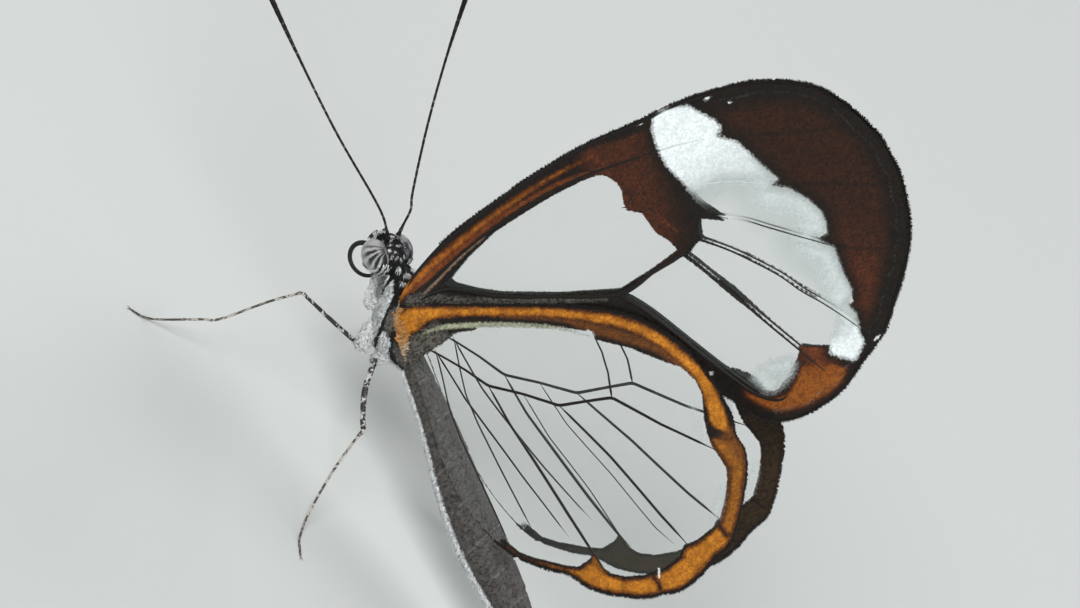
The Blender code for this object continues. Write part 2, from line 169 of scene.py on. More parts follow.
def ribbon_depth(spots, *lines):
    """How deep inside ribbons of changing half width each spot lies: x, z, half width."""
    best = np.full(len(spots), NOWHERE)
    for line in lines:
        for (ax, az, aw), (bx, bz, bw) in zip(line[:-1], line[1:]):
            start, run = np.array([ax, az]), np.array([bx - ax, bz - az])
            share = np.clip(((spots - start) @ run) / max(run @ run, 1e-12), 0.0, 1.0)
            away = np.linalg.norm(spots - start - share[:, None] * run, axis=1)
            best = np.maximum(best, aw + (bw - aw) * share - away)
    return best


# Shapes


def ring_faces(count, sides):
    """Quads over count rings of points, and a fan to the extra point at each end."""
    index = np.arange(count * sides).reshape(count, sides)
    nxt = np.roll(index, -1, axis=1)
    quads = np.stack([index[:-1], index[1:], nxt[1:], nxt[:-1]], axis=-1).reshape(-1, 4)
    caps = np.vstack([
        np.column_stack([np.full(sides, count * sides), index[0], nxt[0]]),
        np.column_stack([np.full(sides, count * sides + 1), nxt[-1], index[-1]]),
    ])
    return [quads, caps]


def tube_mesh(path, radius, sides, normal_hint=(0.0, 0.0, 1.0), flat=1.0):
    """A round tube along a path: rings square to the path, a point at each end."""
    along = unit(np.gradient(path, axis=0))
    across = unit(np.cross(along, np.broadcast_to(normal_hint, path.shape)))
    up = np.cross(across, along)
    turn = np.arange(sides) * 2 * np.pi / sides
    radius = radius[:, None, None]
    ring = (
        path[:, None, :]
        + radius * np.cos(turn)[None, :, None] * across[:, None, :]
        + flat * radius * np.sin(turn)[None, :, None] * up[:, None, :]
    )
    points = np.vstack([ring.reshape(-1, 3), path[:1], path[-1:]])
    return points, ring_faces(len(path), sides)


def joined(parts):
    """Several (points, faces) as one."""
    shift = np.cumsum([0] + [len(points) for points, _ in parts])
    moved = [[f + by for f in faces] for (_, faces), by in zip(parts, shift)]
    return np.vstack([points for points, _ in parts]), [np.vstack(f) for f in zip(*moved)]


def lofted(ring):
    """A closed skin over rings, with a point at each end, its faces turned outward."""
    points = np.vstack([ring.reshape(-1, 3), ring[0].mean(0)[None], ring[-1].mean(0)[None]])
    faces = ring_faces(*ring.shape[:2])
    volume = 0.0
    for f in faces:
        corners = [points[f[:, i]] for i in range(f.shape[1])]
        for b, c in zip(corners[1:-1], corners[2:]):
            volume += np.einsum("ij,ij->", corners[0], np.cross(b, c))
    return points, faces if volume > 0 else [f[:, ::-1] for f in faces]


def blades(roots, ahead, out, length, width, rng):
    """Slim closed tufts: three-sided at the root and middle, drawn to a point."""
    across = unit(np.cross(ahead, out))
    lift = unit(np.cross(across, ahead))
    half = (width / 2)[:, None]
    thin = half * 0.35
    curl = rng.uniform(-0.12, 0.02, len(roots))[:, None] * length[:, None]
    stem = ahead * length[:, None]
    base, middle = roots - out * 0.02, roots + stem * 0.5 - lift * 0.3 * curl
    points = np.stack([
        base - across * half * 0.6, base + across * half * 0.6, base + lift * thin,
        middle - across * half, middle + across * half, middle + lift * thin,
        roots + stem + lift * curl,
    ], axis=1)
    pattern = np.array([
        (0, 2, 1), (0, 1, 4), (0, 4, 3), (1, 2, 5), (1, 5, 4), (2, 0, 3), (2, 3, 5),
        (3, 4, 6), (4, 5, 6), (5, 3, 6),
    ])
    faces = (np.arange(len(roots)) * BLADE_POINTS)[:, None, None] + pattern[None]
    return points.reshape(-1, 3), [faces.reshape(-1, 3)]


BLADE_POINTS = 7
# Where each point of a blade lies on the unwrap, round the blade's own spot.
BLADE_UNWRAP = np.array([(0, 0), (1, 0), (0.5, 0.3), (0, 1), (1, 1), (0.5, 1), (0.5, 2)]) * 0.0015


def tuft_piece(name, mesh, slot_name, spots, material, marks=None):
    """A coat of blades. Each one gets its marks and a shade of its own."""
    shade = np.random.default_rng(len(spots)).random(len(spots)) ** 4
    marks = (marks or {}) | {"shade": shade}
    marks = {key: np.repeat(value, BLADE_POINTS) for key, value in marks.items()}
    made = mesh_piece(name, *mesh, slot_name, material, (), marks, smooth_faces=False)
    unwrap(made, (spots[:, None, :] * 0.99 + BLADE_UNWRAP[None]).reshape(-1, 2))


def along_skin(ahead, out):
    """Directions laid flat on the skin."""
    return unit(ahead - out * np.einsum("ij,ij->i", ahead, out)[:, None])


def lifted(ahead, out, lift):
    return ahead * np.cos(lift)[:, None] + out * np.sin(lift)[:, None]


def scatter(ring, count, seed, density=None):
    """Random places on a skin of rings, by area and a density: place, back, out, unwrap."""
    rng = np.random.default_rng(seed)
    a, b = ring[:-1], ring[1:]
    a2, b2 = np.roll(a, -1, axis=1), np.roll(b, -1, axis=1)
    weight = np.linalg.norm(np.cross(b - a, a2 - a), axis=-1).reshape(-1)
    if density:
        weight = weight * density(((a + b + a2 + b2) / 4).reshape(-1, 3))
    row, column = np.divmod(rng.choice(len(weight), count, p=weight / weight.sum()), ring.shape[1])
    s, t = rng.random((2, count, 1))
    pa, pb = a[row, column], b[row, column]
    qa, qb = a2[row, column], b2[row, column]
    place = (pa * (1 - s) + pb * s) * (1 - t) + (qa * (1 - s) + qb * s) * t
    back = unit((pb - pa) * (1 - t) + (qb - qa) * t)
    out = unit(np.cross(back, (qa - pa) * (1 - s) + (qb - pb) * s))
    out[np.einsum("ij,ij->i", out, place - ring.mean(axis=1)[row]) < 0] *= -1
    u = 0.02 + 0.96 * (row + s[:, 0]) / (len(ring) - 1)
    v = (column + t[:, 0]) / ring.shape[1]
    return place, back, out, np.column_stack([u, v]), rng


# Material tools


class Nodes:
    """A node tree with short ways to add and join nodes."""

    def __init__(self, tree):
        self.tree = tree

    def feed(self, socket, value):
        """Joins another socket, or sets a value; every set colour is opaque."""
        if isinstance(value, bpy.types.NodeSocket):
            self.tree.links.new(value, socket)
        elif socket.type == "RGBA":
            socket.default_value = (*value, 1.0)
        else:
            socket.default_value = value

    def add(self, kind, sockets, **settings):
        """A new node's outputs, once its settings and sockets are filled in."""
        made = self.tree.nodes.new(kind)
        for key, value in settings.items():
            setattr(made, key, value)
        for key, value in sockets.items():
            self.feed(made.inputs[key], value)
        return made.outputs

    def attribute(self, name):
        return self.add("ShaderNodeAttribute", {}, attribute_name=name)["Fac"]

    def math(self, operation, a, b=None, clamp=False):
        sockets = {0: a} if b is None else {0: a, 1: b}
        return self.add("ShaderNodeMath", sockets, operation=operation, use_clamp=clamp)[0]

    def times(self, a, b, clamp=False):
        return self.math("MULTIPLY", a, b, clamp)

    def larger(self, a, b):
        return self.math("MAXIMUM", a, b)

    def mix(self, share, a, b):
        return self.add("ShaderNodeMix", {0: share, 6: a, 7: b}, data_type="RGBA")[2]

    def between(self, share, a, b):
        return self.add("ShaderNodeMix", {0: share, 2: a, 3: b}, data_type="FLOAT")[0]

    def ramp(self, value, low, high, top=1.0, kind="SMOOTHSTEP"):
        """0 at low, top at high."""
        sockets = {"Value": value, "From Min": low, "From Max": high, "To Max": top}
        return self.add("ShaderNodeMapRange", sockets, interpolation_type=kind)["Result"]

    def place(self, stretch=None):
        spot = self.add("ShaderNodeTexCoord", {})["Object"]
        if stretch is None:
            return spot
        return self.add("ShaderNodeMapping", {"Vector": spot, "Scale": stretch})["Vector"]

    def noise(self, scale, detail=2.0, rough=0.5, stretch=None):
        return self.add("ShaderNodeTexNoise", {
            "Scale": scale, "Detail": detail, "Roughness": rough, "Vector": self.place(stretch),
        })["Fac"]


class Shader(Nodes):
    """A material with one principled surface."""

    def __init__(self, name):
        self.material = bpy.data.materials.new(name)
        self.material.use_nodes = True
        super().__init__(self.material.node_tree)

    def finish(self, **values):
        """Sets the surface's inputs and gives back the material."""
        surface = self.tree.nodes["Principled BSDF"]
        for key, value in values.items():
            self.feed(surface.inputs[key.replace("_", " ")], value)
        return self.material

    def grain(self, size):
        """Rows of scales: their flecks and their relief."""
        made = self.add("ShaderNodeGroup", {"Size": size}, node_tree=SCALE_GRAIN)
        return made["Fleck"], made["Relief"]

    def zone(self, attribute, fray, soft):
        """Mask of a marked zone whose edge is made of scales."""
        sockets = {"Depth": self.attribute(attribute), "Fray": fray, "Soft": soft}
        return self.add("ShaderNodeGroup", sockets, node_tree=SCALE_EDGE)["Mask"]

    def shaded(self, colour):
        """Painted shade on the skin between tufts; some tufts are also darker than others, at
        random.
        """
        return self.mix(self.times(self.attribute("shade"), 0.6), colour, (0.025, 0.025, 0.024))

    def bump(self, height, strength, distance=0.00003):
        sockets = {"Strength": strength, "Distance": distance, "Height": height}
        return self.add("ShaderNodeBump", sockets)["Normal"]


def new_group(name, inputs, outputs):
    """A node group with named number sockets: its nodes, what comes in, what goes out."""
    tree = bpy.data.node_groups.new(name, "ShaderNodeTree")
    for sockets, way in ((inputs, "INPUT"), (outputs, "OUTPUT")):
        for socket in sockets:
            tree.interface.new_socket(socket, in_out=way, socket_type="NodeSocketFloat")
    start, end = tree.nodes.new("NodeGroupInput"), tree.nodes.new("NodeGroupOutput")
    return Nodes(tree), start.outputs, end.inputs


def scale_edge_group():
    """Mask of a zone whose edge is made of scales: its depth, frayed by noise."""
    n, given, wanted = new_group("scale_edge", ("Depth", "Fray", "Soft"), ("Mask",))
    frayed = n.times(n.math("SUBTRACT", n.noise(9000.0, 3.0), 0.5), given["Fray"])
    moved = n.math("ADD", given["Depth"], frayed)
    n.feed(wanted["Mask"], n.ramp(moved, n.times(given["Soft"], -1.0), given["Soft"]))
    return n.tree


def scale_grain_group():
    """Rows of overlapping scales: fine light and dark flecks, and their relief."""
    n, given, wanted = new_group("scale_grain", ("Size",), ("Fleck", "Relief"))
    sockets = {"Vector": n.place((1.0, 1.0, 0.55)), "Scale": given["Size"]}
    cells = n.add("ShaderNodeTexVoronoi", sockets)
    tone = n.add("ShaderNodeSeparateColor", {"Color": cells["Color"]})
    n.feed(wanted["Fleck"], tone[0])
    n.feed(wanted["Relief"], cells["Distance"])
    return n.tree


SCALE_EDGE = scale_edge_group()
SCALE_GRAIN = scale_grain_group()


# Wings: x, z points in the plane of the body, smooth curves through them.
FORE_LEADING = (
    (-3.6, 8.64), (-4.1, 9.24), (-4.6, 10.44), (-5, 12.54), (-5.1, 15.34), (-5.1, 18.44),
    (-4.9, 21.54), (-4.4, 24.64), (-4, 27.44), (-3.2, 30.34), (-2.6, 31.64), (-1.8, 32.94),
    (-0.8, 33.94), (0.7, 34.64), (2.3, 35.04),
)
FORE_TRAILING = (
    (-3.6, 8.64), (-3, 9.14), (-2.6, 9.84), (-0.7, 12.64), (0.9, 15.34), (2.5, 17.84),
    (4.1, 18.84), (5.8, 19.44), (7.4, 19.84), (9, 20.74), (10.1, 21.34), (10.8, 22.44),
    (11.05, 23.84), (11, 25.64), (10.4, 27.54), (9.8, 29.34), (9, 30.64), (7.8, 32.34),
    (6.5, 33.64), (4.9, 34.54), (3.8, 34.89), (2.3, 35.04),
)
FORE_CELLS = (
    ((-3.3, 10.94), (-3.4, 11.34), (-3.7, 12.74), (-3.95, 14.74), (-3.9, 16.74), (-3.8, 18.64),
     (-3.6, 20.44), (-3.4, 21.34), (-3.2, 21.74), (-2.6, 22.04), (-2.2, 22.04), (-1.7, 21.74),
     (-1.3, 21.64), (-0.8, 22.24), (-0.2, 22.24), (0.3, 22.24), (0.9, 22.59), (1.5, 22.74),
     (1.56, 20.84), (1.5, 18.71), (0.02, 15.66), (-1.48, 13.06), (-2.82, 11.24)),
    ((2, 22.69), (3, 23.09), (4.7, 23.64), (6.3, 24.24), (8.3, 25.04), (8.5, 24.74),
     (8.8, 24.14), (9.2, 23.04), (9.2, 22.54), (8.8, 22.04), (7.9, 21.64), (6.7, 21.04),
     (5.4, 20.44), (3.2, 19.54), (1.85, 18.84), (1.85, 19.94), (1.85, 21.44)),
    ((2, 23.14), (1.8, 23.84), (2.7, 24.79), (3.6, 25.44), (5, 26.34), (6.2, 26.94),
     (7.2, 27.54), (8, 28.14), (8.6, 28.04), (8.9, 27.34), (8.8, 26.44), (8.4, 25.74),
     (8, 25.24), (6.4, 24.69), (4.3, 24.09)),
    ((1.6, 24.24), (1, 24.64), (1.7, 25.64), (2.5, 26.44), (3.3, 27.24), (4.6, 28.34),
     (5.8, 29.24), (6.8, 29.24), (7.8, 28.94), (7.6, 28.34), (7, 27.84), (5.9, 27.19),
     (4.7, 26.59), (3.3, 25.69), (2.5, 25.04)),
)
FORE_WHITE = (
    (-4.1, 25.74), (-4.15, 26.44), (-3.6, 27.64), (-3.2, 27.84), (-2.9, 28.04), (-2.4, 28.34),
    (-2, 28.44), (-1.8, 27.94), (-1, 28.74), (0.2, 29.04), (1.4, 29.44), (1.5, 28.94),
    (2, 29.64), (2.9, 30.14), (3.7, 30.34), (4.2, 30.24), (4.7, 29.94), (4.6, 29.34),
    (5.4, 29.84), (6, 29.64), (6.7, 29.44), (7.4, 29.34), (7.7, 29.04), (7.8, 28.64),
    (8.4, 28.84), (9.1, 28.44), (9.7, 28.24), (10.1, 27.44), (10.1, 27.24), (9.3, 26.44),
    (8.8, 26.74), (8.5, 27.14), (8, 27.74), (6.6, 27.54), (5.4, 26.84), (4.2, 26.14),
    (2.8, 25.84), (1.5, 25.74), (0.2, 25.14), (-1, 25.04), (-1.9, 24.84), (-2.7, 24.94),
    (-3.6, 25.24),
)
FORE_PALE = (
    (8.1, 23.34), (8.4, 24.34), (8.8, 24.54), (9.1, 24.04), (9.25, 23.44), (9.3, 22.64),
    (9, 22.24), (8.3, 22.04), (8, 22.54),
)
FORE_ORANGE_LINE = (
    (-3.96, 8.84, 0.24), (-4.06, 9.41, 0.27), (-4.16, 9.96, 0.26), (-4.33, 11.17, 0.25),
    (-4.45, 12.56, 0.23), (-4.55, 14.37, 0.2), (-4.59, 16.46, 0.17), (-4.56, 18.48, 0.14),
    (-4.41, 20.39, 0.1), (-4.16, 22.2, 0.05), (-3.99, 23.07, 0.01),
)
FORE_CREAM_LINE = (
    (-3.45, 10.11, 0.03), (-3.55, 10.6, 0.06), (-3.78, 11.69, 0.07), (-3.93, 12.89, 0.05),
    (-4, 14.25, 0.02),
)
FORE_TORNUS_RUST = (
    (9, 24.84), (9.3, 25.64), (9.8, 26.34), (10.3, 26.74), (10.7, 26.04), (10.8, 25.04),
    (10.7, 23.74), (10.4, 22.54), (9.8, 21.84), (8.8, 21.24), (8.6, 21.44), (9.6, 22.44),
    (9.75, 23.34), (9.4, 24.04),
)
FORE_RUST_FLAME = (
    (-0.7, 22.59, 0.05), (0, 22.94, 0.22), (0.8, 23.29, 0.12),
)
FORE_SPECKS = (
    (-4.22, 24.9, 0.07, 0.22), (-3.42, 28.75, 0.07, 0.30), (-2.7, 29.6, 0.06, 0.12),
    (9.85, 29.05, 0.07, 0.28), (7.05, 20.45, 0.10, 0.16),
)
# Veins: x, z and half width along each one.
FORE_VEINS = (
    ((-4, 9.3, 0.06), (-4.55, 10.6, 0.07), (-4.85, 12.6, 0.07), (-5, 15.4, 0.07),
     (-5, 18.5, 0.07), (-4.8, 21.6, 0.07), (-4.3, 24.6, 0.07), (-3.9, 27.4, 0.06),
     (-3.1, 30.1, 0.05)),
    ((-3.55, 9.9, 0.07), (-3.72, 10.9, 0.07), (-3.95, 12.4, 0.06), (-4.1, 14.7, 0.06),
     (-4.05, 17, 0.06), (-3.95, 18.8, 0.06), (-3.75, 20.6, 0.06), (-3.4, 22.1, 0.06),
     (-2.9, 24.3, 0.05)),
    ((-3.3, 9.74, 0.12), (-3, 10.94, 0.11), (-1.5, 12.84, 0.11), (0, 15.44, 0.11),
     (1.65, 18.64, 0.12), (1.7, 20.84, 0.11), (1.8, 22.94, 0.13)),
    ((-1.9, 22.44, 0.05), (-1.45, 21.84, 0.04), (-1.55, 21.44, 0.01)),
    ((1.8, 22.94, 0.08), (4.5, 23.84, 0.055), (6.35, 24.44, 0.055), (8.5, 25.19, 0.05),
     (10.3, 25.84, 0.04)),
    ((1.3, 23.74, 0.06), (2.7, 24.94, 0.05), (3.6, 25.59, 0.045), (5, 26.49, 0.04),
     (6.2, 27.04, 0.04), (7.2, 27.64, 0.04), (8.6, 28.34, 0.04), (9.9, 28.84, 0.03)),
    ((0.4, 24.44, 0.06), (1.9, 26.44, 0.04), (3, 27.54, 0.04), (4.5, 29.04, 0.04),
     (5.6, 30.24, 0.03), (6.9, 32.44, 0.03)),
    ((-0.9, 24.44, 0.05), (0.2, 27.04, 0.04), (1.6, 29.24, 0.03), (2.6, 31.04, 0.03),
     (4.2, 33.84, 0.03)),
    ((-2.9, 24.24, 0.06), (-2.3, 26.44, 0.04), (-1.5, 28.44, 0.03), (-0.3, 30.84, 0.03),
     (1.2, 34.04, 0.03)),
    ((1.65, 18.64, 0.12), (3.1, 19.44, 0.11), (5.3, 20.29, 0.1), (7.5, 21.14, 0.1),
     (9, 21.84, 0.09), (9.75, 22.64, 0.07), (9.85, 23.44, 0.05)),
)

HIND_LEADING = (
    (-2.44, 7.58), (-2.92, 8.03), (-3.3, 8.65), (-3.39, 9.21), (-3.2, 9.69), (-2.9, 10.18),
    (-1.79, 11.69), (-0.48, 13.86), (0.56, 15.71), (1.71, 17.48), (2.75, 18.65), (3.81, 19.46),
    (5.09, 20.09), (6.21, 20.33), (7.09, 20.54), (7.79, 20.96), (8.81, 21.15), (9.55, 20.92),
    (9.88, 20.72), (10.41, 20.72), (10.91, 20.65), (11.7, 20.11), (12.29, 19.49),
    (12.77, 18.94), (13.36, 18.2), (13.71, 17.66), (13.94, 17.33),
)
HIND_TRAILING = (
    (-2.44, 7.58), (-2.04, 7.33), (-1.24, 7.07), (-0.09, 6.76), (1.78, 6.13), (3.81, 5.51),
    (5.71, 5.3), (7.48, 5.45), (8.75, 5.83), (9.54, 6.37), (10.48, 7.23), (11.18, 8.07),
    (12.19, 8.68), (12.88, 9.4), (13.37, 10.13), (13.9, 10.98), (14.21, 11.78), (14.29, 12.21),
    (14.56, 12.97), (14.61, 13.9), (14.44, 15.07), (14.19, 16.1), (14.13, 16.84),
    (13.94, 17.33),
)
HIND_CLEAR = (
    (-0.98, 8.45), (-0.86, 8.90), (-1.08, 9.42), (-1.30, 9.92), (-0.95, 10.65),
    (-0.53, 11.38), (-0.01, 12.22),
    (0.51, 13.13), (1.63, 14.96), (2.81, 16.5), (4, 17.85), (4.84, 18.53), (6, 19.5),
    (6.98, 19.88), (7.62, 19.97), (8.21, 19.74), (8.61, 19.53), (9.18, 19.3), (9.81, 19.15),
    (10.46, 19.19), (11, 19.2), (11.48, 18.89), (12.08, 18.27), (12.51, 17.73), (12.91, 17.14),
    (12.99, 16.32), (13.05, 15.57), (12.92, 14.76), (13.25, 14.24), (13.34, 13.13),
    (13.11, 11.91), (12.69, 10.85), (12.22, 10.24), (11.79, 10.02), (10.98, 10.01),
    (11.13, 9.56), (11.12, 8.8), (10.78, 8.24), (10.22, 7.57), (9.7, 6.94), (9.1, 6.37),
    (8.4, 6.11), (7.63, 6.04), (6.62, 6.04), (5.31, 6.03), (3.87, 6.18), (2.42, 6.57),
    (1.19, 7.05), (-0.1, 7.76), (-0.98, 8.26),
)
HIND_ORANGE_LINE = (
    (-2.35, 7.55, 0.26), (-2.66, 8.12, 0.46), (-2.76, 8.72, 0.60), (-2.70, 9.26, 0.50),
    (-2.47, 9.92, 0.33), (-1.79, 11.08, 0.25), (-0.74, 12.74, 0.24), (0.32, 14.56, 0.24),
    (1.48, 16.33, 0.25), (2.59, 17.8, 0.27), (3.56, 18.7, 0.28), (4.59, 19.34, 0.28),
    (5.62, 19.73, 0.30), (6.74, 20.08, 0.34), (7.59, 20.36, 0.43), (8.41, 20.42, 0.52),
    (9.12, 20.24, 0.52), (9.47, 20.24, 0.30),
)
HIND_RUST_LINE = (
    (-0.55, 12.6, 0.04), (1.13, 15.29, 0.09), (2.01, 16.3, 0.2), (2.92, 17.29, 0.22),
    (4.03, 18.42, 0.2), (4.97, 19.12, 0.15), (6.09, 19.56, 0.12), (7.12, 19.88, 0.1),
)
HIND_CREAM_LINE = (
    (-1.92, 8.75, 0.05), (-1.86, 9.20, 0.10), (-1.60, 10.02, 0.14), (-0.76, 11.51, 0.15),
    (0.3, 13.28, 0.14), (1.31, 14.85, 0.1), (2.52, 16.3, 0.04),
)
HIND_VEINS = (
    ((-1.39, 8.36, 0.05), (-0.68, 8.81, 0.055), (0.46, 9.45, 0.06), (1.79, 10.06, 0.075),
     (3.01, 11.45, 0.07), (4.39, 12.83, 0.08), (4.89, 14.21, 0.07), (5.43, 15.65, 0.08),
     (7.68, 17.23, 0.07), (9.76, 18.97, 0.06)),
    ((1.79, 10.06, 0.05), (3.89, 9.85, 0.065), (5.66, 9.88, 0.075), (8.84, 9.9, 0.08),
     (10.88, 9.96, 0.07), (11.48, 10.04, 0.05)),
    ((4.39, 12.83, 0.06), (7.63, 13.74, 0.07), (11.17, 14.47, 0.07), (12.78, 14.9, 0.06)),
    ((5.43, 15.65, 0.06), (4.38, 16.22, 0.05), (3.44, 16.48, 0.045), (2.72, 16.49, 0.045)),
    ((-0.99, 8.77, 0.05), (-0.54, 8.58, 0.04), (1.56, 7.54, 0.04), (3.03, 7.13, 0.045),
     (5.11, 6.74, 0.045), (8.32, 6.17, 0.04)),
    ((-0.88, 8.75, 0.05), (0.11, 8.67, 0.045), (1.75, 8.55, 0.05), (3.38, 8.64, 0.05),
     (6.27, 8.84, 0.045), (8.88, 9.14, 0.035), (9.43, 9.21, 0.02)),
    ((3.01, 11.45, 0.03), (5.34, 11.35, 0.03), (8.44, 11.71, 0.03), (11.64, 11.85, 0.03),
     (12.48, 12.04, 0.03)),
)

HIND_DARK_LINE = (
    (-2.05, 9.45, 0.02), (-1.98, 9.85, 0.05), (-1.84, 10.15, 0.08), (-0.94, 11.64, 0.09),
    (0.13, 13.39, 0.09), (1.3, 15.17, 0.1), (2.12, 16.23, 0.06),
)
HIND_NOTCHES = (
    ((8.92, 19.3, 0.3), (9.33, 19.6, 0.26), (9.65, 19.98, 0.16), (9.93, 20.4, 0.09)),
    ((13.05, 17.11, 0.1), (13.63, 17.22, 0.06), (13.75, 17.69, 0.05)),
    ((13.41, 12.31, 0.05), (13.75, 12.34, 0.05), (14.17, 12.23, 0.04)),
)
HIND_DASH = (
    (13.19, 12.82, 0.05), (13.54, 12.56, 0.06),
)
HIND_SPIKE = (
    (10.94, 9.94, 0.05), (11.28, 9.85, 0.14), (11.87, 9.96, 0.26),
)
# Painted sheen: whitish ribbons inside the hindwing's clear cell, beside the orange band.
HIND_SHEEN_RIBBONS = (
    ((11.66, 18.39, 0.05), (12.05, 17.88, 0.16), (12.53, 17.23, 0.14), (12.75, 16.7, 0.04)),
    ((7.58, 19.25, 0.04), (8.22, 19.25, 0.14), (8.87, 18.98, 0.12), (9.28, 18.73, 0.03)),
)
HIND_DARK_CELL = (
    (-1.97, 8.51, 0.1), (-1.71, 8.65, 0.17), (-1.45, 8.79, 0.08),
)
FORE_PALE_STREAK = (
    (-3.50, 9.25, 0.14), (-3.28, 9.71, 0.24), (-2.76, 10.35, 0.17), (-1.69, 11.98, 0.07),
    (-0.13, 14.8, 0.06), (0.85, 16.7, 0.05), (1.44, 17.91, 0.03),
)
FORE_BROWN_LINE = (
    (-3.86, 9.63, 0.08), (-3.94, 10.36, 0.12), (-4.1, 11.62, 0.12), (-4.24, 13.42, 0.11),
    (-4.32, 15.56, 0.1), (-4.25, 17.55, 0.09), (-4.07, 19.43, 0.08), (-3.7, 21.15, 0.06),
)
FORE_HINGE = np.array([-3.6, 8.9])
HIND_HINGE = np.array([-2.3, 8.3])
FORE_REST, FORE_ROOT_SPREAD, FORE_ROOT_REACH, HIND_ROOT_REACH = 0.18, 0.95, 1.7, 3.0
HIND_GAP, HIND_OVER, HIND_FLARE, HIND_SPAN = 0.14, 0.40, 0.85, 16.0
# The hindwing touches the forewing along this line.
CONTACT_LINE = (
    (-2.9, 10.1), (-1.79, 11.6), (-0.48, 13.8), (0.56, 15.7), (1.7, 17.5), (2.74, 18.75),
    (3.8, 19.6), (5.08, 20.3), (6.19, 20.6), (7.07, 20.8),
)
# The inner edge of the hindwing bulges round the abdomen: x, its middle z and half width.
ABDOMEN_ROOM = (
    (-1.0, 6.58, 0.6), (0.4, 6.2, 0.68), (2.3, 5.65, 0.86), (4.2, 4.98, 1.02),
    (6.2, 4.35, 1.14), (8.2, 3.88, 1.16), (10.2, 3.52, 1.04),
)
MEMBRANE = 0.05  # thickness of a wing's sheet
PLEAT = 0.05  # how far the sheet sinks towards the body between the veins
FORE_WHITE_OUTER = 28  # points of FORE_WHITE on its outer edge
FORE_CELL_GROWTH = 0.14  # how far the outer clear cells reach past their drawn outlines
OUTLINE_STEPS = 160
WING_STATIONS, WING_ACROSS = 230, 110
VEIN_SIDES = 8
# The fringe: blades on each wing, samples of each edge, and where the hem starts and ends.
FRINGE_COUNT = 2600
HEM_STEPS, HEM_START = 500, 60
HEM_BARE = {"forewing": 90, "hindwing": 210}


def fore_rest(spots):
    """Distance from the plane of the body: wide at the hinge, then nearly closed."""
    away = np.linalg.norm(spots - FORE_HINGE, axis=1)
    return FORE_REST + FORE_ROOT_SPREAD * hump(away, FORE_ROOT_REACH)


def hind_rest(spots):
    """The hindwing lies on the forewing, flares to its edge and clears the abdomen."""
    x, z = spots.T
    away = np.linalg.norm(spots - HIND_HINGE, axis=1)
    root = FORE_ROOT_SPREAD * hump(np.linalg.norm(spots - FORE_HINGE, axis=1), HIND_ROOT_REACH)
    held = 0.92 * hump(distance_to(spots, CONTACT_LINE), 1.8) * smooth(9.0, 6.0, x)
    spread = HIND_OVER * (1.0 - hump(away, 2.0)) + HIND_FLARE * (away / HIND_SPAN) ** 2.5
    rest = FORE_REST + root + HIND_GAP + spread * (1.0 - held)
    at, middle, half = np.array(ABDOMEN_ROOM).T
    needed = np.maximum(np.interp(x, at, half) + 0.14 - rest, 0.0)
    gutter = hump(z - np.interp(x, at, middle), 1.7)
    return rest + needed * gutter * smooth(-1.5, 0.5, x) * smooth(11.0, 7.5, x)


def bent_line(points, count):
    """Straight runs between given points, their corners barely rounded."""
    rows = np.asarray(points, float)
    line = resampled(rows, travel(rows[:, :2]), count)
    last = line[-1] - line[-2]
    line[-1] += 0.3 * last * [1, 1, 0] / max(np.linalg.norm(last[:2]), 1e-6)
    for _ in range(3):
        line[1:-1] = (line[:-2] + line[1:-1] + line[2:]) / 3
    return line


def wing_grid(leading, trailing):
    """Straight rungs between two edges that meet at the hinge and at the tip."""
    first, last = (curve_through(edge, WING_STATIONS)[:, None, :] for edge in (leading, trailing))
    share = np.linspace(0.0, 1.0, WING_ACROSS)[None, :, None]
    return first * (1.0 - share) + last * share


def closed_sheet(grid, middle, side):
    """Two faces of one sheet, joined round the rim; its ends close to a point."""
    rows, across = grid.shape[:2]
    x, z = grid.reshape(-1, 2).T
    lift = MEMBRANE / 2 * (1.0 - 0.9 * np.abs(np.linspace(-1, 1, across)) ** 24)
    lift = np.tile(lift, rows)
    points = [np.column_stack([x, side * (middle + way * lift), z]) for way in (1.0, -1.0)]
    index = np.arange(rows * across).reshape(rows, across)
    ring = np.hstack([index, index[:, ::-1] + rows * across])
    nxt = np.roll(ring, -1, axis=1)
    quads = np.stack([ring[:-1], nxt[:-1], nxt[1:], ring[1:]], axis=-1).reshape(-1, 4)
    return np.vstack(points), [quads[:, ::-1] if side > 0 else quads]


def wing_outline(leading, trailing):
    first, last = (curve_through(edge, OUTLINE_STEPS) for edge in (leading, trailing))
    return np.vstack([first[:-1], last[::-1][:-1]])


def fleck_depth(spots, flecks):
    """How deep inside small round or long flecks: x, z, half width, half length."""
    best = np.full(len(spots), NOWHERE)
    for x, z, half_x, half_z in flecks:
        reach = np.hypot((spots[:, 0] - x) / half_x, (spots[:, 1] - z) / half_z)
        best = np.maximum(best, (1.0 - reach) * min(half_x, half_z))
    return best


def scallop(spots):
    """A gentle wave that makes drawn edges uneven, like rows of scales."""
    x, z = spots.T
    return 0.01 * (np.sin(9.1 * x + 5.3 * z) + np.sin(-6.7 * x + 10.9 * z + 1.0))


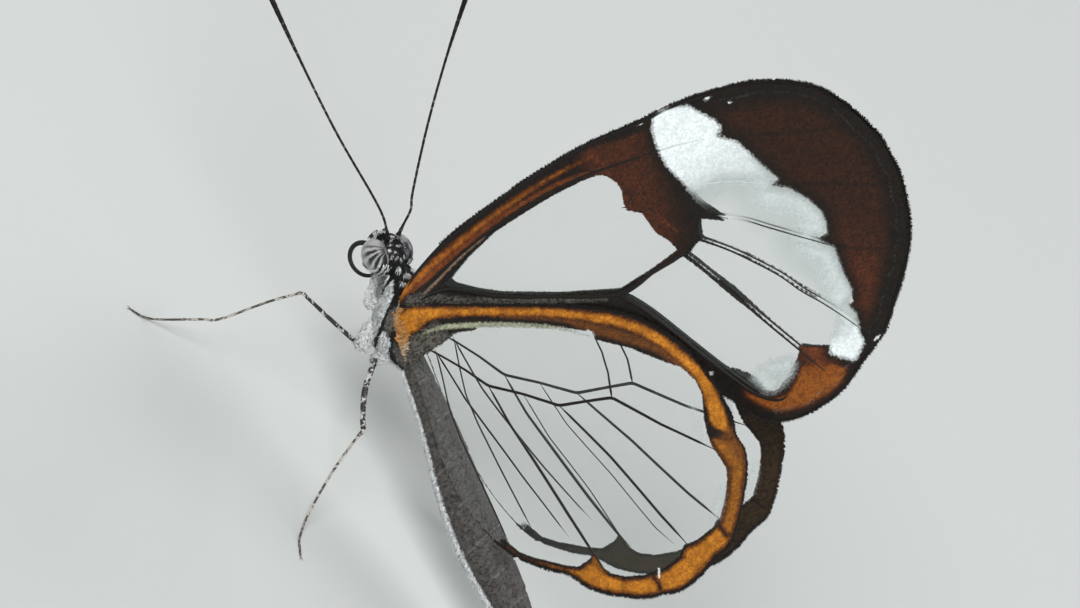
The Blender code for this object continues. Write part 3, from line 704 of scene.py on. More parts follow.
def fore_zones(flat, gap):
    """Depth inside each coloured zone of the forewing, in millimetres."""
    x, z = flat.T
    rim = depth_inside(flat, wing_outline(FORE_LEADING, FORE_TRAILING))
    cells = [depth_inside(flat, c) + FORE_CELL_GROWTH * (i > 0) for i, c in enumerate(FORE_CELLS)]
    whitening = depth_inside(flat, FORE_WHITE)
    # The white band fades from its outer edge, and stays beside the veins.
    from_edge = distance_to(flat, FORE_WHITE[:FORE_WHITE_OUTER])
    middle = smooth(-1.6, 1.2, x)
    strong = 1.0 - 0.30 * smooth(-2.0, 1.0, x) * smooth(8.9, 7.6, x)
    fade = 0.78 * hump(from_edge, 1.8) * smooth(-0.02, 0.9, whitening + 0.35)
    fade = np.maximum(fade, 0.55 * hump(gap, 0.10) * smooth(2.4, 1.2, from_edge))
    streak = 1.0 - 0.22 * hump(gap - 0.30, 0.16) * middle
    strength = strong * (1.0 - middle * (1.0 - fade)) * streak
    strength = np.maximum(strength, 0.95 * smooth(8.3, 9.2, x) * smooth(25.9, 26.6, z))
    brown = ribbon_depth(flat, curve_through(FORE_BROWN_LINE, 60))
    streak_depth = ribbon_depth(flat, curve_through(FORE_PALE_STREAK, 40)) + 0.10
    submargin = 0.01 - np.abs(rim - 0.50 - 0.08 * np.sin(3.4 * (x - z)))
    submargin -= 0.3 * (z + 0.5 * x < 27.0)
    # Rust: the apex, the bar across the middle, the flame at its end and the tornus.
    apex = smooth(25.2, 27.0, z + 0.1 * x) * smooth(0.55, 1.5, rim) * smooth(0.0, -0.9, whitening)
    apex *= 0.32 + 0.95 * smooth(3.0, 9.0, x) * smooth(33.5, 30.0, z)
    bar = 0.75 * smooth(20.5, 22.5, z) * smooth(25.0, 23.2, z + 0.30 * x) * smooth(2.2, 0.6, x)
    bar *= smooth(0.15, 0.4, rim) * smooth(0.10, 0.75, -whitening)
    bar *= 0.35 + 0.65 * smooth(24.2, 22.3, z + 0.45 * x)
    flame = 1.5 * smooth(-0.10, 0.22, ribbon_depth(flat, FORE_RUST_FLAME))
    at_tornus = depth_inside(flat, FORE_TORNUS_RUST)
    tornus = 0.5 * smooth(-0.22, 0.22, at_tornus)
    browned = 0.8 * smooth(-0.05, 0.05, brown)
    rust = np.clip(np.max([apex, bar, flame, tornus, browned], axis=0), 0.0, 1.7)
    orange = ribbon_depth(flat, curve_through(FORE_ORANGE_LINE, 60))
    return {
        "clear": np.max([*cells, whitening], axis=0), "white": whitening, "strength": strength,
        "orange": np.max([orange, brown, at_tornus], axis=0) + scallop(flat),
        "cream": ribbon_depth(flat, curve_through(FORE_CREAM_LINE, 20)),
        "rust": rust * (1.0 - 0.60 * hump(gap, 0.09) * smooth(20.0, 23.0, z)),
        "grey": np.maximum(submargin, streak_depth),
        "pale": depth_inside(flat, FORE_PALE), "specks": fleck_depth(flat, FORE_SPECKS),
        "dark": np.minimum(
            np.maximum(0.55 - rim, 0.0) * smooth(22.0, 24.0, z) - 0.3 * (z < 22.0),
            np.where((x > 7.0) & (z < 27.4), 0.14 - rim, 1.0),
        ),
    }


def hind_zones(flat, gap):
    """Depth inside each coloured zone of the hindwing, in millimetres."""
    x, z = flat.T
    rim = depth_inside(flat, wing_outline(HIND_LEADING, HIND_TRAILING))
    upper = ribbon_depth(flat, curve_through(HIND_ORANGE_LINE, 120))
    dark_line = ribbon_depth(flat, curve_through(HIND_DARK_LINE, 60))
    cream = ribbon_depth(flat, curve_through(HIND_CREAM_LINE, 40)) - 0.03
    # Clear cells: the large one, the fold beside the abdomen and a strip below the cream.
    clear = np.max([
        depth_inside(flat, HIND_CLEAR),
        np.min([rim - 0.035, (8.2 - x) * 0.2, (x + 1.1) * 0.5, 9.0 - z - 0.2 * x], axis=0),
        np.min([cream + 0.26, -dark_line - 0.03, -upper - 0.10, (x + 0.75) * 0.5], axis=0),
    ], axis=0)
    side_run = smooth(9.4, 9.8, x) * smooth(17.0, 17.4, z)
    band = np.minimum(rim - 0.13, -clear - 0.13 - 0.04 * side_run)
    band = np.where(x < 6.6, -1.0, band - 0.4 * (1.0 - smooth(6.6, 8.6, x)))
    band = np.where((z > 19.6) & (x < 9.6), -1.0, band)
    orange = np.max([upper, band, ribbon_depth(flat, HIND_SPIKE)], axis=0)
    gaps = [ribbon_depth(flat, *HIND_NOTCHES), dark_line, clear + 0.02]
    waist = np.min(
        [(-0.2 - x) * 0.5, rim - 0.04, 9.9 - z, -upper - 0.10, -cream - 0.06, -dark_line], axis=0
    )
    hem = np.min([0.30 - rim, (6.8 - x) * 0.3, (x + 1.6) * 0.5, 7.2 - z], axis=0)
    rust_line = ribbon_depth(flat, curve_through(HIND_RUST_LINE, 60))
    nowhere = np.full(len(flat), NOWHERE)
    return {
        "clear": clear, "white": nowhere, "strength": np.zeros(len(flat)),
        "orange": np.minimum(orange, -np.max(gaps, axis=0)) + scallop(flat), "cream": cream,
        "rust": np.maximum(
            smooth(-0.10, 0.10, rust_line), side_run * (0.62 + 0.4 * smooth(19.6, 20.3, z))
        ),
        "grey": np.max([ribbon_depth(flat, HIND_DARK_CELL), waist, hem], axis=0),
        # Here the pale zone is the painted sheen.
        "pale": ribbon_depth(flat, *HIND_SHEEN_RIBBONS), "specks": ribbon_depth(flat, HIND_DASH),
        "dark": nowhere,
    }


def scaled(colour, *shares):
    """A colour with each of its channels multiplied."""
    return tuple(c * share for c, share in zip(colour, shares * 3 if len(shares) == 1 else shares))


def wing_material(name, orange, rust, cream_tone):
    """Scaled zones over a clear membrane: dark ground, rust, orange, cream and white, and on the
    hindwing a painted sheen.
    """
    s = Shader(name)
    fleck, relief = s.grain(14000.0)
    broad = s.noise(1500.0, 3.0, 0.6)
    streaks = s.noise(2300.0, 3.0, 0.6, (1.0, 1.0, 0.35))
    ventral = s.math("SUBTRACT", 1.0, s.attribute("dorsal"))
    clear, cream = s.zone("clear", 0.16, 0.04), s.zone("cream", 0.20, 0.07)

    def tint(low, high):
        return s.mix(fleck, low, high)

    ground = tint((0.0025, 0.0018, 0.0014), (0.013, 0.008, 0.005))
    rusty = tint(scaled(rust, 0.45), rust)
    rust_share = s.times(s.attribute("rust"), s.between(broad, 0.45, 1.35), clamp=True)
    rust_share = s.times(rust_share, s.between(ventral, 0.15, 1.0))
    colour = s.mix(rust_share, ground, rusty)
    bright = tint(scaled(orange, 0.55, 0.42, 0.35), orange)
    shade = tint(scaled(orange, 0.34), scaled(orange, 0.60, 0.46, 0.4))
    umber = tint((0.020, 0.007, 0.002), scaled(orange, 0.30, 0.20, 0.12))
    dull = tint((0.007, 0.004, 0.002), (0.040, 0.024, 0.010))
    glow = s.mix(s.ramp(broad, 0.30, 0.62), shade, bright)
    depth = s.math("ADD", s.attribute("orange"), s.between(broad, -0.08, 0.08))
    glow = s.mix(s.ramp(depth, 0.0, 0.24), umber, glow)
    glow = s.mix(ventral, dull, s.mix(s.times(rust_share, 0.85), glow, rusty))
    colour = s.mix(s.zone("orange", 0.26, 0.07), colour, glow)
    grey_share = s.times(s.zone("grey", 0.30, 0.10), s.between(broad, 0.25, 0.95))
    colour = s.mix(grey_share, colour, tint((0.020, 0.018, 0.015), (0.20, 0.185, 0.155)))
    colour = s.mix(s.zone("dark", 0.35, 0.22), colour, ground)
    # Only the well clear parts take the glass colour, so the scales keep theirs at the edge.
    colour = s.mix(s.math("POWER", clear, 8.0), colour, (0.30, 0.36, 0.33))
    colour = s.mix(cream, colour, tint(scaled(cream_tone, 0.45), cream_tone))
    whitening = s.times(s.zone("white", 0.32, 0.14), s.attribute("strength"))
    whitening = s.times(whitening, s.between(streaks, 0.80, 1.16), clamp=True)
    # The pale zone whitens colour and membrane: on the hindwing it is a painted sheen, on the
    # forewing a pale patch at the end of the second cell.
    whitening = s.larger(whitening, s.times(s.zone("pale", 0.45, 0.30), s.between(broad, 0.10, 0.62)))
    snow = tint((0.66, 0.71, 0.70), (0.88, 0.92, 0.92))
    colour = s.mix(s.times(whitening, 1.6, clamp=True), colour, snow)
    specks = s.times(s.zone("specks", 0.14, 0.03), ventral)
    colour = s.mix(specks, colour, (0.72, 0.73, 0.72))

    film = s.between(s.noise(260.0, 3.0), 0.012, 0.05)
    opacity = s.larger(s.between(clear, 1.0, film), whitening)
    opacity = s.larger(opacity, s.larger(specks, s.times(cream, 0.8)))
    return s.finish(
        Base_Color=colour, Alpha=opacity, Specular_IOR_Level=0.22,
        Roughness=s.between(clear, s.between(fleck, 0.55, 0.8), 0.2),
        Normal=s.bump(relief, 0.25, 0.00002),
    )


def vein_material():
    s = Shader("wing_vein")
    colour = s.mix(s.noise(6000.0), (0.0022, 0.0018, 0.0014), (0.014, 0.010, 0.007))
    return s.finish(
        Base_Color=s.mix(s.attribute("snow"), colour, (0.62, 0.66, 0.65)),
        Roughness=s.between(s.noise(3000.0), 0.4, 0.65), Specular_IOR_Level=0.25,
    )


def vein_tubes(lines, rest, side):
    """Each vein as a slim tube that tapers out, set in the membrane."""
    parts = []
    for line in lines:
        path = np.column_stack([line[:, 0], side * rest(line[:, :2]), line[:, 1]])
        width = line[:, 2].copy()
        width[:8] *= np.linspace(0.3, 1.0, 8)
        width[-8:] *= np.linspace(1.0, 0.3, 8)
        parts.append(tube_mesh(path, width, VEIN_SIDES, (0.0, 1.0, 0.0), 0.8))
    return joined(parts)


def make_fringe(name, side, leading, trailing, rest, slot_name, finish):
    """A hem of fine scales that stand out past the rim of a wing."""
    rng = np.random.default_rng(17)
    first, last = curve_through(leading, HEM_STEPS), curve_through(trailing, HEM_STEPS)
    hem = np.vstack([first[HEM_START:], last[::-1][:-HEM_BARE[slot_name]]])
    along = unit(np.gradient(hem, axis=0))
    away = np.column_stack([-along[:, 1], along[:, 0]])
    middle = (first.mean(0) + last.mean(0)) / 2
    if np.mean(np.einsum("ij,ij->i", away, hem - middle)) < 0:
        away = -away
    pick = rng.integers(0, len(hem), FRINGE_COUNT)
    spot = hem[pick] - away[pick] * rng.uniform(0.02, 0.09, (FRINGE_COUNT, 1))
    way = away[pick] + along[pick] * rng.normal(0.15, 0.30, (FRINGE_COUNT, 1))
    roots = np.column_stack([spot[:, 0], side * rest(spot), spot[:, 1]])
    ahead = unit(np.column_stack([way[:, 0], rng.normal(0, 0.12, FRINGE_COUNT), way[:, 1]]))
    out = np.tile([0.0, side, 0.0], (FRINGE_COUNT, 1))
    length = rng.uniform(0.08, 0.15, FRINGE_COUNT)
    mesh = blades(roots, ahead, out, length, rng.uniform(0.03, 0.055, FRINGE_COUNT), rng)
    spots = 0.05 + 0.9 * (spot - hem.min(0)) / np.ptp(hem, axis=0)
    tuft_piece(name, mesh, slot_name, spots, finish)


def make_wing(word, side, slot_name, leading, trailing, veins, follow, rest, zones, scales, dark):
    """One wing: its sheet, its veins and its fringe."""
    name = slot_name + "_" + word
    grid = wing_grid(leading, trailing)
    flat = grid.reshape(-1, 2)
    lines = [follow(vein, max(60, 20 * len(vein))) for vein in veins]
    gap = np.min([distance_to(flat, line[::3, :2]) for line in lines], axis=0)
    points, quads = closed_sheet(grid, rest(flat) - PLEAT * (1.0 - hump(gap, 0.9)), side)
    marks = {key: np.tile(value, 2) for key, value in zones(flat, gap).items()}
    marks["dorsal"] = np.repeat([0.0, 1.0], len(flat))
    mesh_piece(name + "_sheet", points, quads, slot_name, scales, (name,), marks)
    points, faces = vein_tubes(lines, rest, side)
    marks = {}
    if slot_name == "forewing":
        in_band = smooth(-0.02, 0.15, depth_inside(points[:, [0, 2]], FORE_WHITE))
        marks["snow"] = 0.9 * in_band * smooth(2.6, 1.6, points[:, 0])
    mesh_piece(name + "_veins", points, faces, slot_name, dark, marks=marks)
    make_fringe(name + "_fringe", side, leading, trailing, rest, slot_name, dark)


def make_wings():
    dark = vein_material()
    fore = wing_material(
        "forewing_scales", (0.36, 0.120, 0.012), (0.165, 0.040, 0.011), (0.26, 0.17, 0.11)
    )
    hind = wing_material(
        "hindwing_scales", (0.60, 0.235, 0.018), (0.150, 0.048, 0.009), (0.36, 0.37, 0.25)
    )
    for word, side in SIDES:
        make_wing(word, side, "forewing", FORE_LEADING, FORE_TRAILING, FORE_VEINS,
                  curve_through, fore_rest, fore_zones, fore, dark)
        make_wing(word, side, "hindwing", HIND_LEADING, HIND_TRAILING, HIND_VEINS,
                  bent_line, hind_rest, hind_zones, hind, dark)


# The body

# The head is turned a little: rolled so its right side stands higher, and yawed to the right.
HEAD_CENTRE = np.array([-5.98, -0.12, 9.12])
HEAD_ROLL_DEG, HEAD_YAW_DEG = 10.0, 15.0
EYE_OUT, EYE_RADII = 0.76, (0.80, 0.57, 0.74)
EYE_MIDDLE = (0.02, -0.04)
# Along the head: forward place, up place, half width, half height up and down.
HEAD_RINGS = (
    (0.93, -0.10, 0.10, 0.12, 0.12), (0.86, -0.08, 0.30, 0.38, 0.38),
    (0.62, -0.03, 0.50, 0.66, 0.62), (0.25, 0.0, 0.62, 0.84, 0.78),
    (-0.15, 0.0, 0.68, 0.88, 0.84), (-0.48, 0.0, 0.64, 0.80, 0.80),
    (-0.74, -0.05, 0.52, 0.56, 0.64),
)
HEAD_BACK = -0.80  # the head's back end, from its own middle
# Neck to waist: x, y, z, half width, half height up and down.
THORAX_RINGS = (
    (-5.02, -0.06, 9.08, 0.44, 0.42, 0.52), (-4.78, 0.0, 8.82, 0.64, 0.62, 0.80),
    (-4.45, 0.0, 8.48, 0.90, 0.96, 1.10), (-4.05, 0.0, 8.05, 1.12, 1.34, 1.36),
    (-3.60, 0.0, 7.72, 1.25, 1.62, 1.62), (-3.00, 0.0, 7.42, 1.29, 1.78, 1.74),
    (-2.40, 0.0, 7.16, 1.17, 1.60, 1.52), (-1.90, 0.0, 6.94, 0.96, 1.28, 1.22),
    (-1.45, 0.0, 6.74, 0.70, 0.88, 0.84), (-1.05, 0.0, 6.60, 0.50, 0.58, 0.56),
    (-0.80, 0.0, 6.52, 0.20, 0.22, 0.22),
)
ABDOMEN_RINGS = (
    (-1.45, 0.0, 6.72, 0.12, 0.14, 0.14), (-1.35, 0.0, 6.69, 0.46, 0.56, 0.54),
    (-0.97, 0.0, 6.58, 0.60, 0.70, 0.68), (0.40, 0.0, 6.20, 0.68, 0.80, 0.78),
    (2.30, 0.0, 5.65, 0.86, 0.98, 0.96), (4.20, 0.0, 4.98, 1.02, 1.16, 1.14),
    (6.20, 0.0, 4.35, 1.14, 1.26, 1.24), (8.20, 0.0, 3.88, 1.16, 1.24, 1.22),
    (10.2, 0.0, 3.52, 1.04, 1.08, 1.06), (11.6, 0.0, 3.31, 0.82, 0.84, 0.82),
    (12.5, 0.0, 3.17, 0.58, 0.60, 0.58), (13.0, 0.0, 3.10, 0.36, 0.38, 0.36),
    (13.2, 0.0, 3.08, 0.10, 0.10, 0.10),
)
ABDOMEN_SEAMS = (0.25, 2.1, 3.9, 5.7, 7.55, 9.25, 10.8, 12.1)


def head_axes():
    """Forward, right and up directions of the turned head."""
    roll, yaw = np.radians(HEAD_ROLL_DEG), np.radians(HEAD_YAW_DEG)
    ahead = np.array([-np.cos(yaw), np.sin(yaw), 0.0])
    right = np.array([np.sin(yaw) * np.cos(roll), np.cos(yaw) * np.cos(roll), np.sin(roll)])
    return ahead, right, np.cross(right, ahead)


AHEAD, RIGHT, UP = head_axes()


def head_place(forward, right, up):
    """A place given from the head's own middle, in the plan."""
    f, r, u = np.broadcast_arrays(forward, right, up)
    return HEAD_CENTRE + f[..., None] * AHEAD + r[..., None] * RIGHT + u[..., None] * UP


def in_head(points):
    """Forward, right and up distances from the head's middle."""
    away = points - HEAD_CENTRE
    return away @ AHEAD, away @ RIGHT, away @ UP


def upright(rings):
    """Rings with level right and up directions filled in."""
    rows = np.asarray(rings, float)
    ways = np.tile([0.0, 1.0, 0.0, 0.0, 0.0, 1.0], (len(rows), 1))
    return np.hstack([rows[:, :3], ways, rows[:, 3:]])


def skin_rings(rows, along, around, swell):
    """Oval rings of a body: upper and lower halves of their own height, joined smoothly."""
    line = curve_through(rows, along)
    right, up = unit(line[:, None, 3:6]), unit(line[:, None, 6:9])
    turn = np.arange(around) * 2 * np.pi / around
    sine = np.sin(turn)[None, :, None]
    tall = np.where(sine > 0, line[:, None, 10:11], line[:, None, 11:12])
    wide = line[:, None, 9:10] * np.cos(turn)[None, :, None]
    offset = wide * right + tall * sine * up
    return line[:, None, :3] + offset * swell(line[:, 0], turn)[..., None]


# Markings of head and thorax. Ribbons in side view: x, z and half width.
WHITE_RIBBONS = (
    ((-4.68, 8.82, 0.12), (-4.44, 8.50, 0.25), (-4.14, 7.95, 0.34), (-3.80, 7.10, 0.42),
     (-3.46, 6.20, 0.46), (-3.20, 5.30, 0.42), (-3.05, 4.40, 0.34)),
    ((-3.05, 7.15, 0.12), (-2.75, 6.98, 0.30), (-2.45, 6.68, 0.38), (-2.30, 6.10, 0.38),
     (-2.15, 5.40, 0.36), (-2.10, 4.90, 0.26)),
    ((-2.20, 5.90, 0.34), (-1.80, 5.85, 0.38), (-1.40, 5.92, 0.38), (-0.90, 5.95, 0.34)),
    ((-5.55, 8.35, 0.10), (-5.25, 8.25, 0.26), (-5.00, 7.95, 0.30), (-4.75, 7.45, 0.26)),
)
BLACK_RIBBONS = (
    ((-4.95, 8.60, 0.08), (-4.78, 8.20, 0.10), (-4.50, 7.55, 0.10), (-4.25, 6.90, 0.06)),
    ((-4.06, 8.75, 0.05), (-3.74, 8.20, 0.06), (-3.40, 7.50, 0.07), (-3.05, 6.85, 0.07),
     (-2.80, 6.20, 0.06), (-2.65, 5.50, 0.05)),
    ((-2.36, 7.20, 0.06), (-2.12, 6.80, 0.14), (-1.98, 6.50, 0.10)),
)
GREY_RIBBONS = (
    ((-3.66, 8.45, 0.10), (-3.42, 8.05, 0.22), (-3.12, 7.65, 0.24), (-2.92, 7.30, 0.12)),
    ((-2.75, 8.20, 0.18), (-2.45, 7.85, 0.20)),
    ((-2.30, 7.30, 0.10), (-1.90, 7.02, 0.20), (-1.35, 6.72, 0.24)),
)
CREAM_RIBBONS = (
    ((-3.74, 8.78, 0.07), (-3.46, 8.50, 0.10), (-3.16, 8.22, 0.11), (-2.86, 7.92, 0.08)),
)
# Round white spots of the head: forward, right and radius; and of the collar: x, y, z, radius.
HEAD_SPOTS = (
    (0.30, 0.22, 0.045), (0.10, 0.36, 0.05), (-0.05, 0.10, 0.05), (-0.12, 0.48, 0.07),
    (-0.30, 0.30, 0.04), (-0.42, 0.44, 0.05), (-0.56, 0.22, 0.05), (-0.66, 0.0, 0.05),
    (0.50, 0.08, 0.10), (0.44, 0.52, 0.06),
)
COLLAR_SPOTS = ((-5.08, 0.42, 9.32, 0.12), (-4.72, 0.22, 9.38, 0.13), (-4.42, 0.50, 9.18, 0.13))


def body_marks(points):
    """How white, grey and cream each spot of the head and thorax is."""
    x, y, z = points.T
    side = points[:, [0, 2]]
    white = np.maximum(ribbon_depth(side, *WHITE_RIBBONS), 5.95 - z)
    white = np.minimum(white, -ribbon_depth(side, *BLACK_RIBBONS))
    for cx, cy, cz, radius in COLLAR_SPOTS:
        gap = np.linalg.norm(np.column_stack([x - cx, np.abs(y) - cy, z - cz]), axis=1)
        white = np.maximum(white, radius - gap)
    f, r, u = in_head(points)
    on_head = (f > HEAD_BACK) & (np.hypot(f, r) < 1.6) & (x < -4.9)
    spots = [radius - np.hypot(f - a, np.abs(r) - b) for a, b, radius in HEAD_SPOTS]
    spots = np.where(u > 0.2, np.max(spots, axis=0), -1.0)
    cheek = np.minimum(0.18 - u, 0.25 - f + 0.15 * np.abs(r)) * 0.6
    stripes = 0.10 * np.sin(19.0 * u + 5.0 * f) - 0.02
    head_white = np.maximum(spots, np.minimum(cheek, cheek + stripes))
    rim = np.hypot(f - EYE_MIDDLE[0], u - EYE_MIDDLE[1])
    by_rim = np.maximum(head_white, 0.08 - np.abs(rim - 0.84))
    head_white = np.where((rim > 0.70) & (u < 0.1), by_rim, head_white)
    return {
        "white": np.where(on_head, head_white, white),
        "grey": np.where(on_head, -1.0, ribbon_depth(side, *GREY_RIBBONS)),
        "cream": np.where(on_head, -1.0, ribbon_depth(side, *CREAM_RIBBONS)),
    }


def abdomen_marks(points):
    """Pale seams between the segments and the white line under the belly."""
    x, _, z = points.T
    seams = [0.014 - np.abs(x + 0.198 * (z - 5.0) - seam) for seam in ABDOMEN_SEAMS]
    line = curve_through(ABDOMEN_RINGS, 120)
    down = (np.interp(x, line[:, 0], line[:, 2]) - z) / np.interp(x, line[:, 0], line[:, 5])
    belly = (down - 0.36) * 0.4
    return {"white": belly, "grey": np.max(seams, axis=0), "cream": np.full(len(points), -1.0)}


def skin_material(name, dark, light_dark):
    """Scaled skin: dark ground, grey, cream and white scales in the marked places."""
    s = Shader(name)
    fleck, relief = s.grain(11000.0)
    colour = s.mix(fleck, dark, light_dark)
    for zone, fray, soft, low, high in (
        ("grey", 0.16, 0.06, (0.06, 0.055, 0.05), (0.20, 0.18, 0.16)),
        ("cream", 0.12, 0.04, (0.35, 0.27, 0.19), (0.6, 0.52, 0.42)),
        ("white", 0.12, 0.04, (0.55, 0.57, 0.56), (0.92, 0.94, 0.94)),
    ):
        colour = s.mix(s.zone(zone, fray, soft), colour, s.mix(fleck, low, high))
    # The skin under the tufts takes a painted shade.
    return s.finish(
        Base_Color=s.shaded(colour), Roughness=s.between(fleck, 0.42, 0.72),
        Normal=s.bump(relief, 0.5), Specular_IOR_Level=0.25,
    )


BODY_ALONG, BODY_AROUND = 150, 96
ABDOMEN_ALONG, ABDOMEN_AROUND = 220, 72


def thorax_swell(x, turn):
    """Plates of the thorax: a groove down each side and one across the back."""
    side, up = np.abs(np.cos(turn))[None, :], np.sin(turn)[None, :]
    at = x[:, None]
    groove = hump(at + 2.95 - 0.45 * up, 0.16) * side**2
    second = hump(at + 4.28 - 0.35 * up, 0.12) * (0.4 + 0.6 * side)
    back = hump(at + 2.05, 0.14) * np.clip(up, 0, 1) ** 2
    keel = hump(side, 0.10) * smooth(-4.9, -4.4, at) * smooth(-1.2, -1.8, at)
    return 1.0 - 0.05 * groove - 0.06 * second - 0.07 * back - 0.025 * keel


def abdomen_swell(x, turn):
    """Each segment ends in a low lip over the next one."""
    reach = 1.0
    for seam in ABDOMEN_SEAMS:
        gap = x[:, None] + 0.10 * np.sin(turn)[None, :] - seam
        reach = reach + 0.030 * hump(gap + 0.16, 0.14) - 0.045 * hump(gap - 0.05, 0.07)
    pleura = hump(np.sin(turn) + 0.35, 0.10)[None, :]
    return reach - 0.045 * pleura * smooth(-0.5, 0.5, x)[:, None]


def body_rows():
    """The rings of head and thorax as one; the first neck ring is half turned."""
    head = [
        np.hstack([HEAD_CENTRE + f * AHEAD + u * UP, RIGHT, UP, [w, a, b]])
        for f, u, w, a, b in HEAD_RINGS
    ]
    thorax = upright(THORAX_RINGS)
    thorax[0, 3:9] = (thorax[0, 3:9] + [*RIGHT, *UP]) / 2
    return np.vstack([head, thorax])


def make_skin(slot_name, nodes, ring, marks, material):
    """A skin over rings, with its unwrap."""
    points, faces = lofted(ring)
    made = mesh_piece(slot_name, points, faces, slot_name, material, nodes, marks(points))
    along, around = ring.shape[:2]
    share = np.repeat(np.linspace(0.02, 0.98, along), around)
    round_share = np.tile(np.arange(around) / around, along)
    unwrap(made, np.vstack([np.column_stack([share, round_share]), [[0.0, 0.5], [1.0, 0.5]]]))


def make_body():
    scales = {
        "body": skin_material("body_scales", (0.0022, 0.0022, 0.0022), (0.010, 0.0095, 0.009)),
        "belly": skin_material("abdomen_scales", (0.026, 0.023, 0.022), (0.085, 0.076, 0.070)),
    }
    body = skin_rings(body_rows(), BODY_ALONG, BODY_AROUND, thorax_swell)
    belly = skin_rings(upright(ABDOMEN_RINGS), ABDOMEN_ALONG, ABDOMEN_AROUND, abdomen_swell)

    # The skin of head and thorax carries an even painted shade under its tufts.
    def shaded_marks(points):
        return body_marks(points) | {"shade": np.full(len(points), 0.2)}

    make_skin("body_skin", ("head", "thorax"), body, shaded_marks, scales["body"])
    make_skin("abdomen_skin", ("abdomen",), belly, abdomen_marks, scales["belly"])
    return body, belly, scales


# Dark bands fan out from the back of the eye: direction and half width in degrees, strength.
EYE_BANDS = (
    (-12.0, 3.0, 0.7), (8.0, 4.6, 1.0), (28.0, 5.2, 1.0), (49.0, 5.8, 1.0), (78.0, 13.0, 1.0),
)
# Right and down in the photograph's picture, in pixels for each millimetre, and the pole in it.
PICTURE_WAYS = ((12.17, 10.2, 14.6), (17.84, -7.0, -9.97))
EYE_POLE = (12.8, -5.6)
EYE_ROWS, EYE_AROUND = 90, 120


def eye_material():
    """Grey-white compound eye with dark bands that fan across it and a violet tinge."""
    s = Shader("banded_eye")
    wander = s.times(s.math("SUBTRACT", s.noise(2300.0, 3.0, 0.6), 0.5), 16.0)
    at = s.math("ADD", s.attribute("eye_turn"), wander)
    dark = 0.0
    for centre, half, strength in EYE_BANDS:
        off = s.math("ABSOLUTE", s.math("SUBTRACT", at, centre))
        dark = s.larger(dark, s.ramp(off, half + 3.5, half - 2.0, strength))
    cells = s.add("ShaderNodeTexVoronoi", {"Scale": 26000.0, "Vector": s.place()})
    tone = s.noise(3200.0, 2.0)
    pale = s.mix(tone, (0.17, 0.17, 0.17), (0.50, 0.50, 0.485))
    pale = s.mix(s.attribute("eye_violet"), pale, (0.030, 0.019, 0.037))
    return s.finish(
        Base_Color=s.mix(s.times(dark, s.attribute("eye_fade")), pale, (0.007, 0.006, 0.008)),
        Roughness=s.between(tone, 0.30, 0.45), Coat_Weight=0.08, Coat_Roughness=0.30,
        Normal=s.bump(cells["Distance"], 0.12, 0.000012),
    )


def eye_pattern(forward, outward_way, up):
    """Direction of each spot as the camera's picture of the left eye fans out."""
    spot = forward[:, None] * AHEAD - outward_way[:, None] * RIGHT + up[:, None] * UP
    across, down = (spot @ np.array(way) - pole for way, pole in zip(PICTURE_WAYS, EYE_POLE))
    reach = np.hypot(across, down)
    turn = np.degrees(np.arctan2(down, -across)) - 0.9 * (reach - 16.0)
    fade = np.maximum(smooth(29.0, 20.0, reach), smooth(60.0, 75.0, turn))
    return turn, fade, np.maximum(smooth(9.0, 3.0, reach), 0.6 * smooth(15.0, 6.0, reach))


def make_eyes():
    finish = eye_material()
    polar = np.linspace(0, np.pi, EYE_ROWS + 2)[1:-1, None]
    turn = np.arange(EYE_AROUND) * 2 * np.pi / EYE_AROUND
    middle, radii = np.array([EYE_MIDDLE[0], EYE_OUT, EYE_MIDDLE[1]]), np.array(EYE_RADII)
    a = np.cos(polar) * np.ones(EYE_AROUND)
    dome = np.stack([np.sin(polar) * np.cos(turn), a, np.sin(polar) * np.sin(turn)], axis=-1)
    for word, side in SIDES:
        way = np.array([1.0, side, 1.0])
        f, r, u = np.moveaxis(middle * way + radii * dome, -1, 0)
        points, faces = lofted(head_place(f, r, u))
        for end, sign in ((-2, 1.0), (-1, -1.0)):
            points[end] = head_place(middle[0], side * EYE_OUT + sign * radii[1], middle[2])
        f, r, u = in_head(points)
        turned, fade, violet = eye_pattern(f - middle[0], side * r - EYE_OUT, u - middle[2])
        tinge = 0.8 * (side > 0) * smooth(0.2, -0.1, f) * smooth(0.0, 0.3, u)
        marks = {"eye_turn": turned, "eye_fade": fade, "eye_violet": np.maximum(violet, tinge)}
        mesh_piece("eye_%s_dome" % word, points, faces, "eye", finish, ("eye_" + word,), marks)


FEELER_LEFT = (
    (-6.50, -0.55, 9.90), (-6.86, -0.62, 10.16), (-7.50, -0.74, 10.52), (-8.60, -0.95, 10.85),
    (-12.00, -1.75, 11.75), (-16.00, -2.60, 13.05), (-19.60, -3.10, 14.15), (-21.10, -3.25, 14.55),
)
FEELER_RIGHT = (
    (-6.38, 0.12, 10.02), (-6.66, 0.26, 10.52), (-7.05, 0.62, 11.10), (-7.70, 1.02, 11.50),
    (-9.90, 2.00, 13.70), (-12.10, 2.90, 16.30), (-14.35, 3.70, 19.40), (-15.30, 4.00, 20.80),
)
FEELER_RINGS = 40
FEELER_SLIM, FEELER_CLUB = 0.062, 0.15
FEELER_STEPS, FEELER_SIDES = 620, 16


def feeler_material():
    s = Shader("feeler")
    fleck, relief = s.grain(16000.0)
    colour = s.mix(fleck, (0.003, 0.003, 0.003), (0.014, 0.012, 0.011))
    ring = s.times(s.attribute("pale_ring"), s.math("GREATER_THAN", fleck, 0.72))
    return s.finish(
        Base_Color=s.mix(ring, colour, (0.22, 0.21, 0.19)), Roughness=s.between(fleck, 0.5, 0.8),
        Specular_IOR_Level=0.15, Normal=s.bump(relief, 0.35, 0.00002),
    )


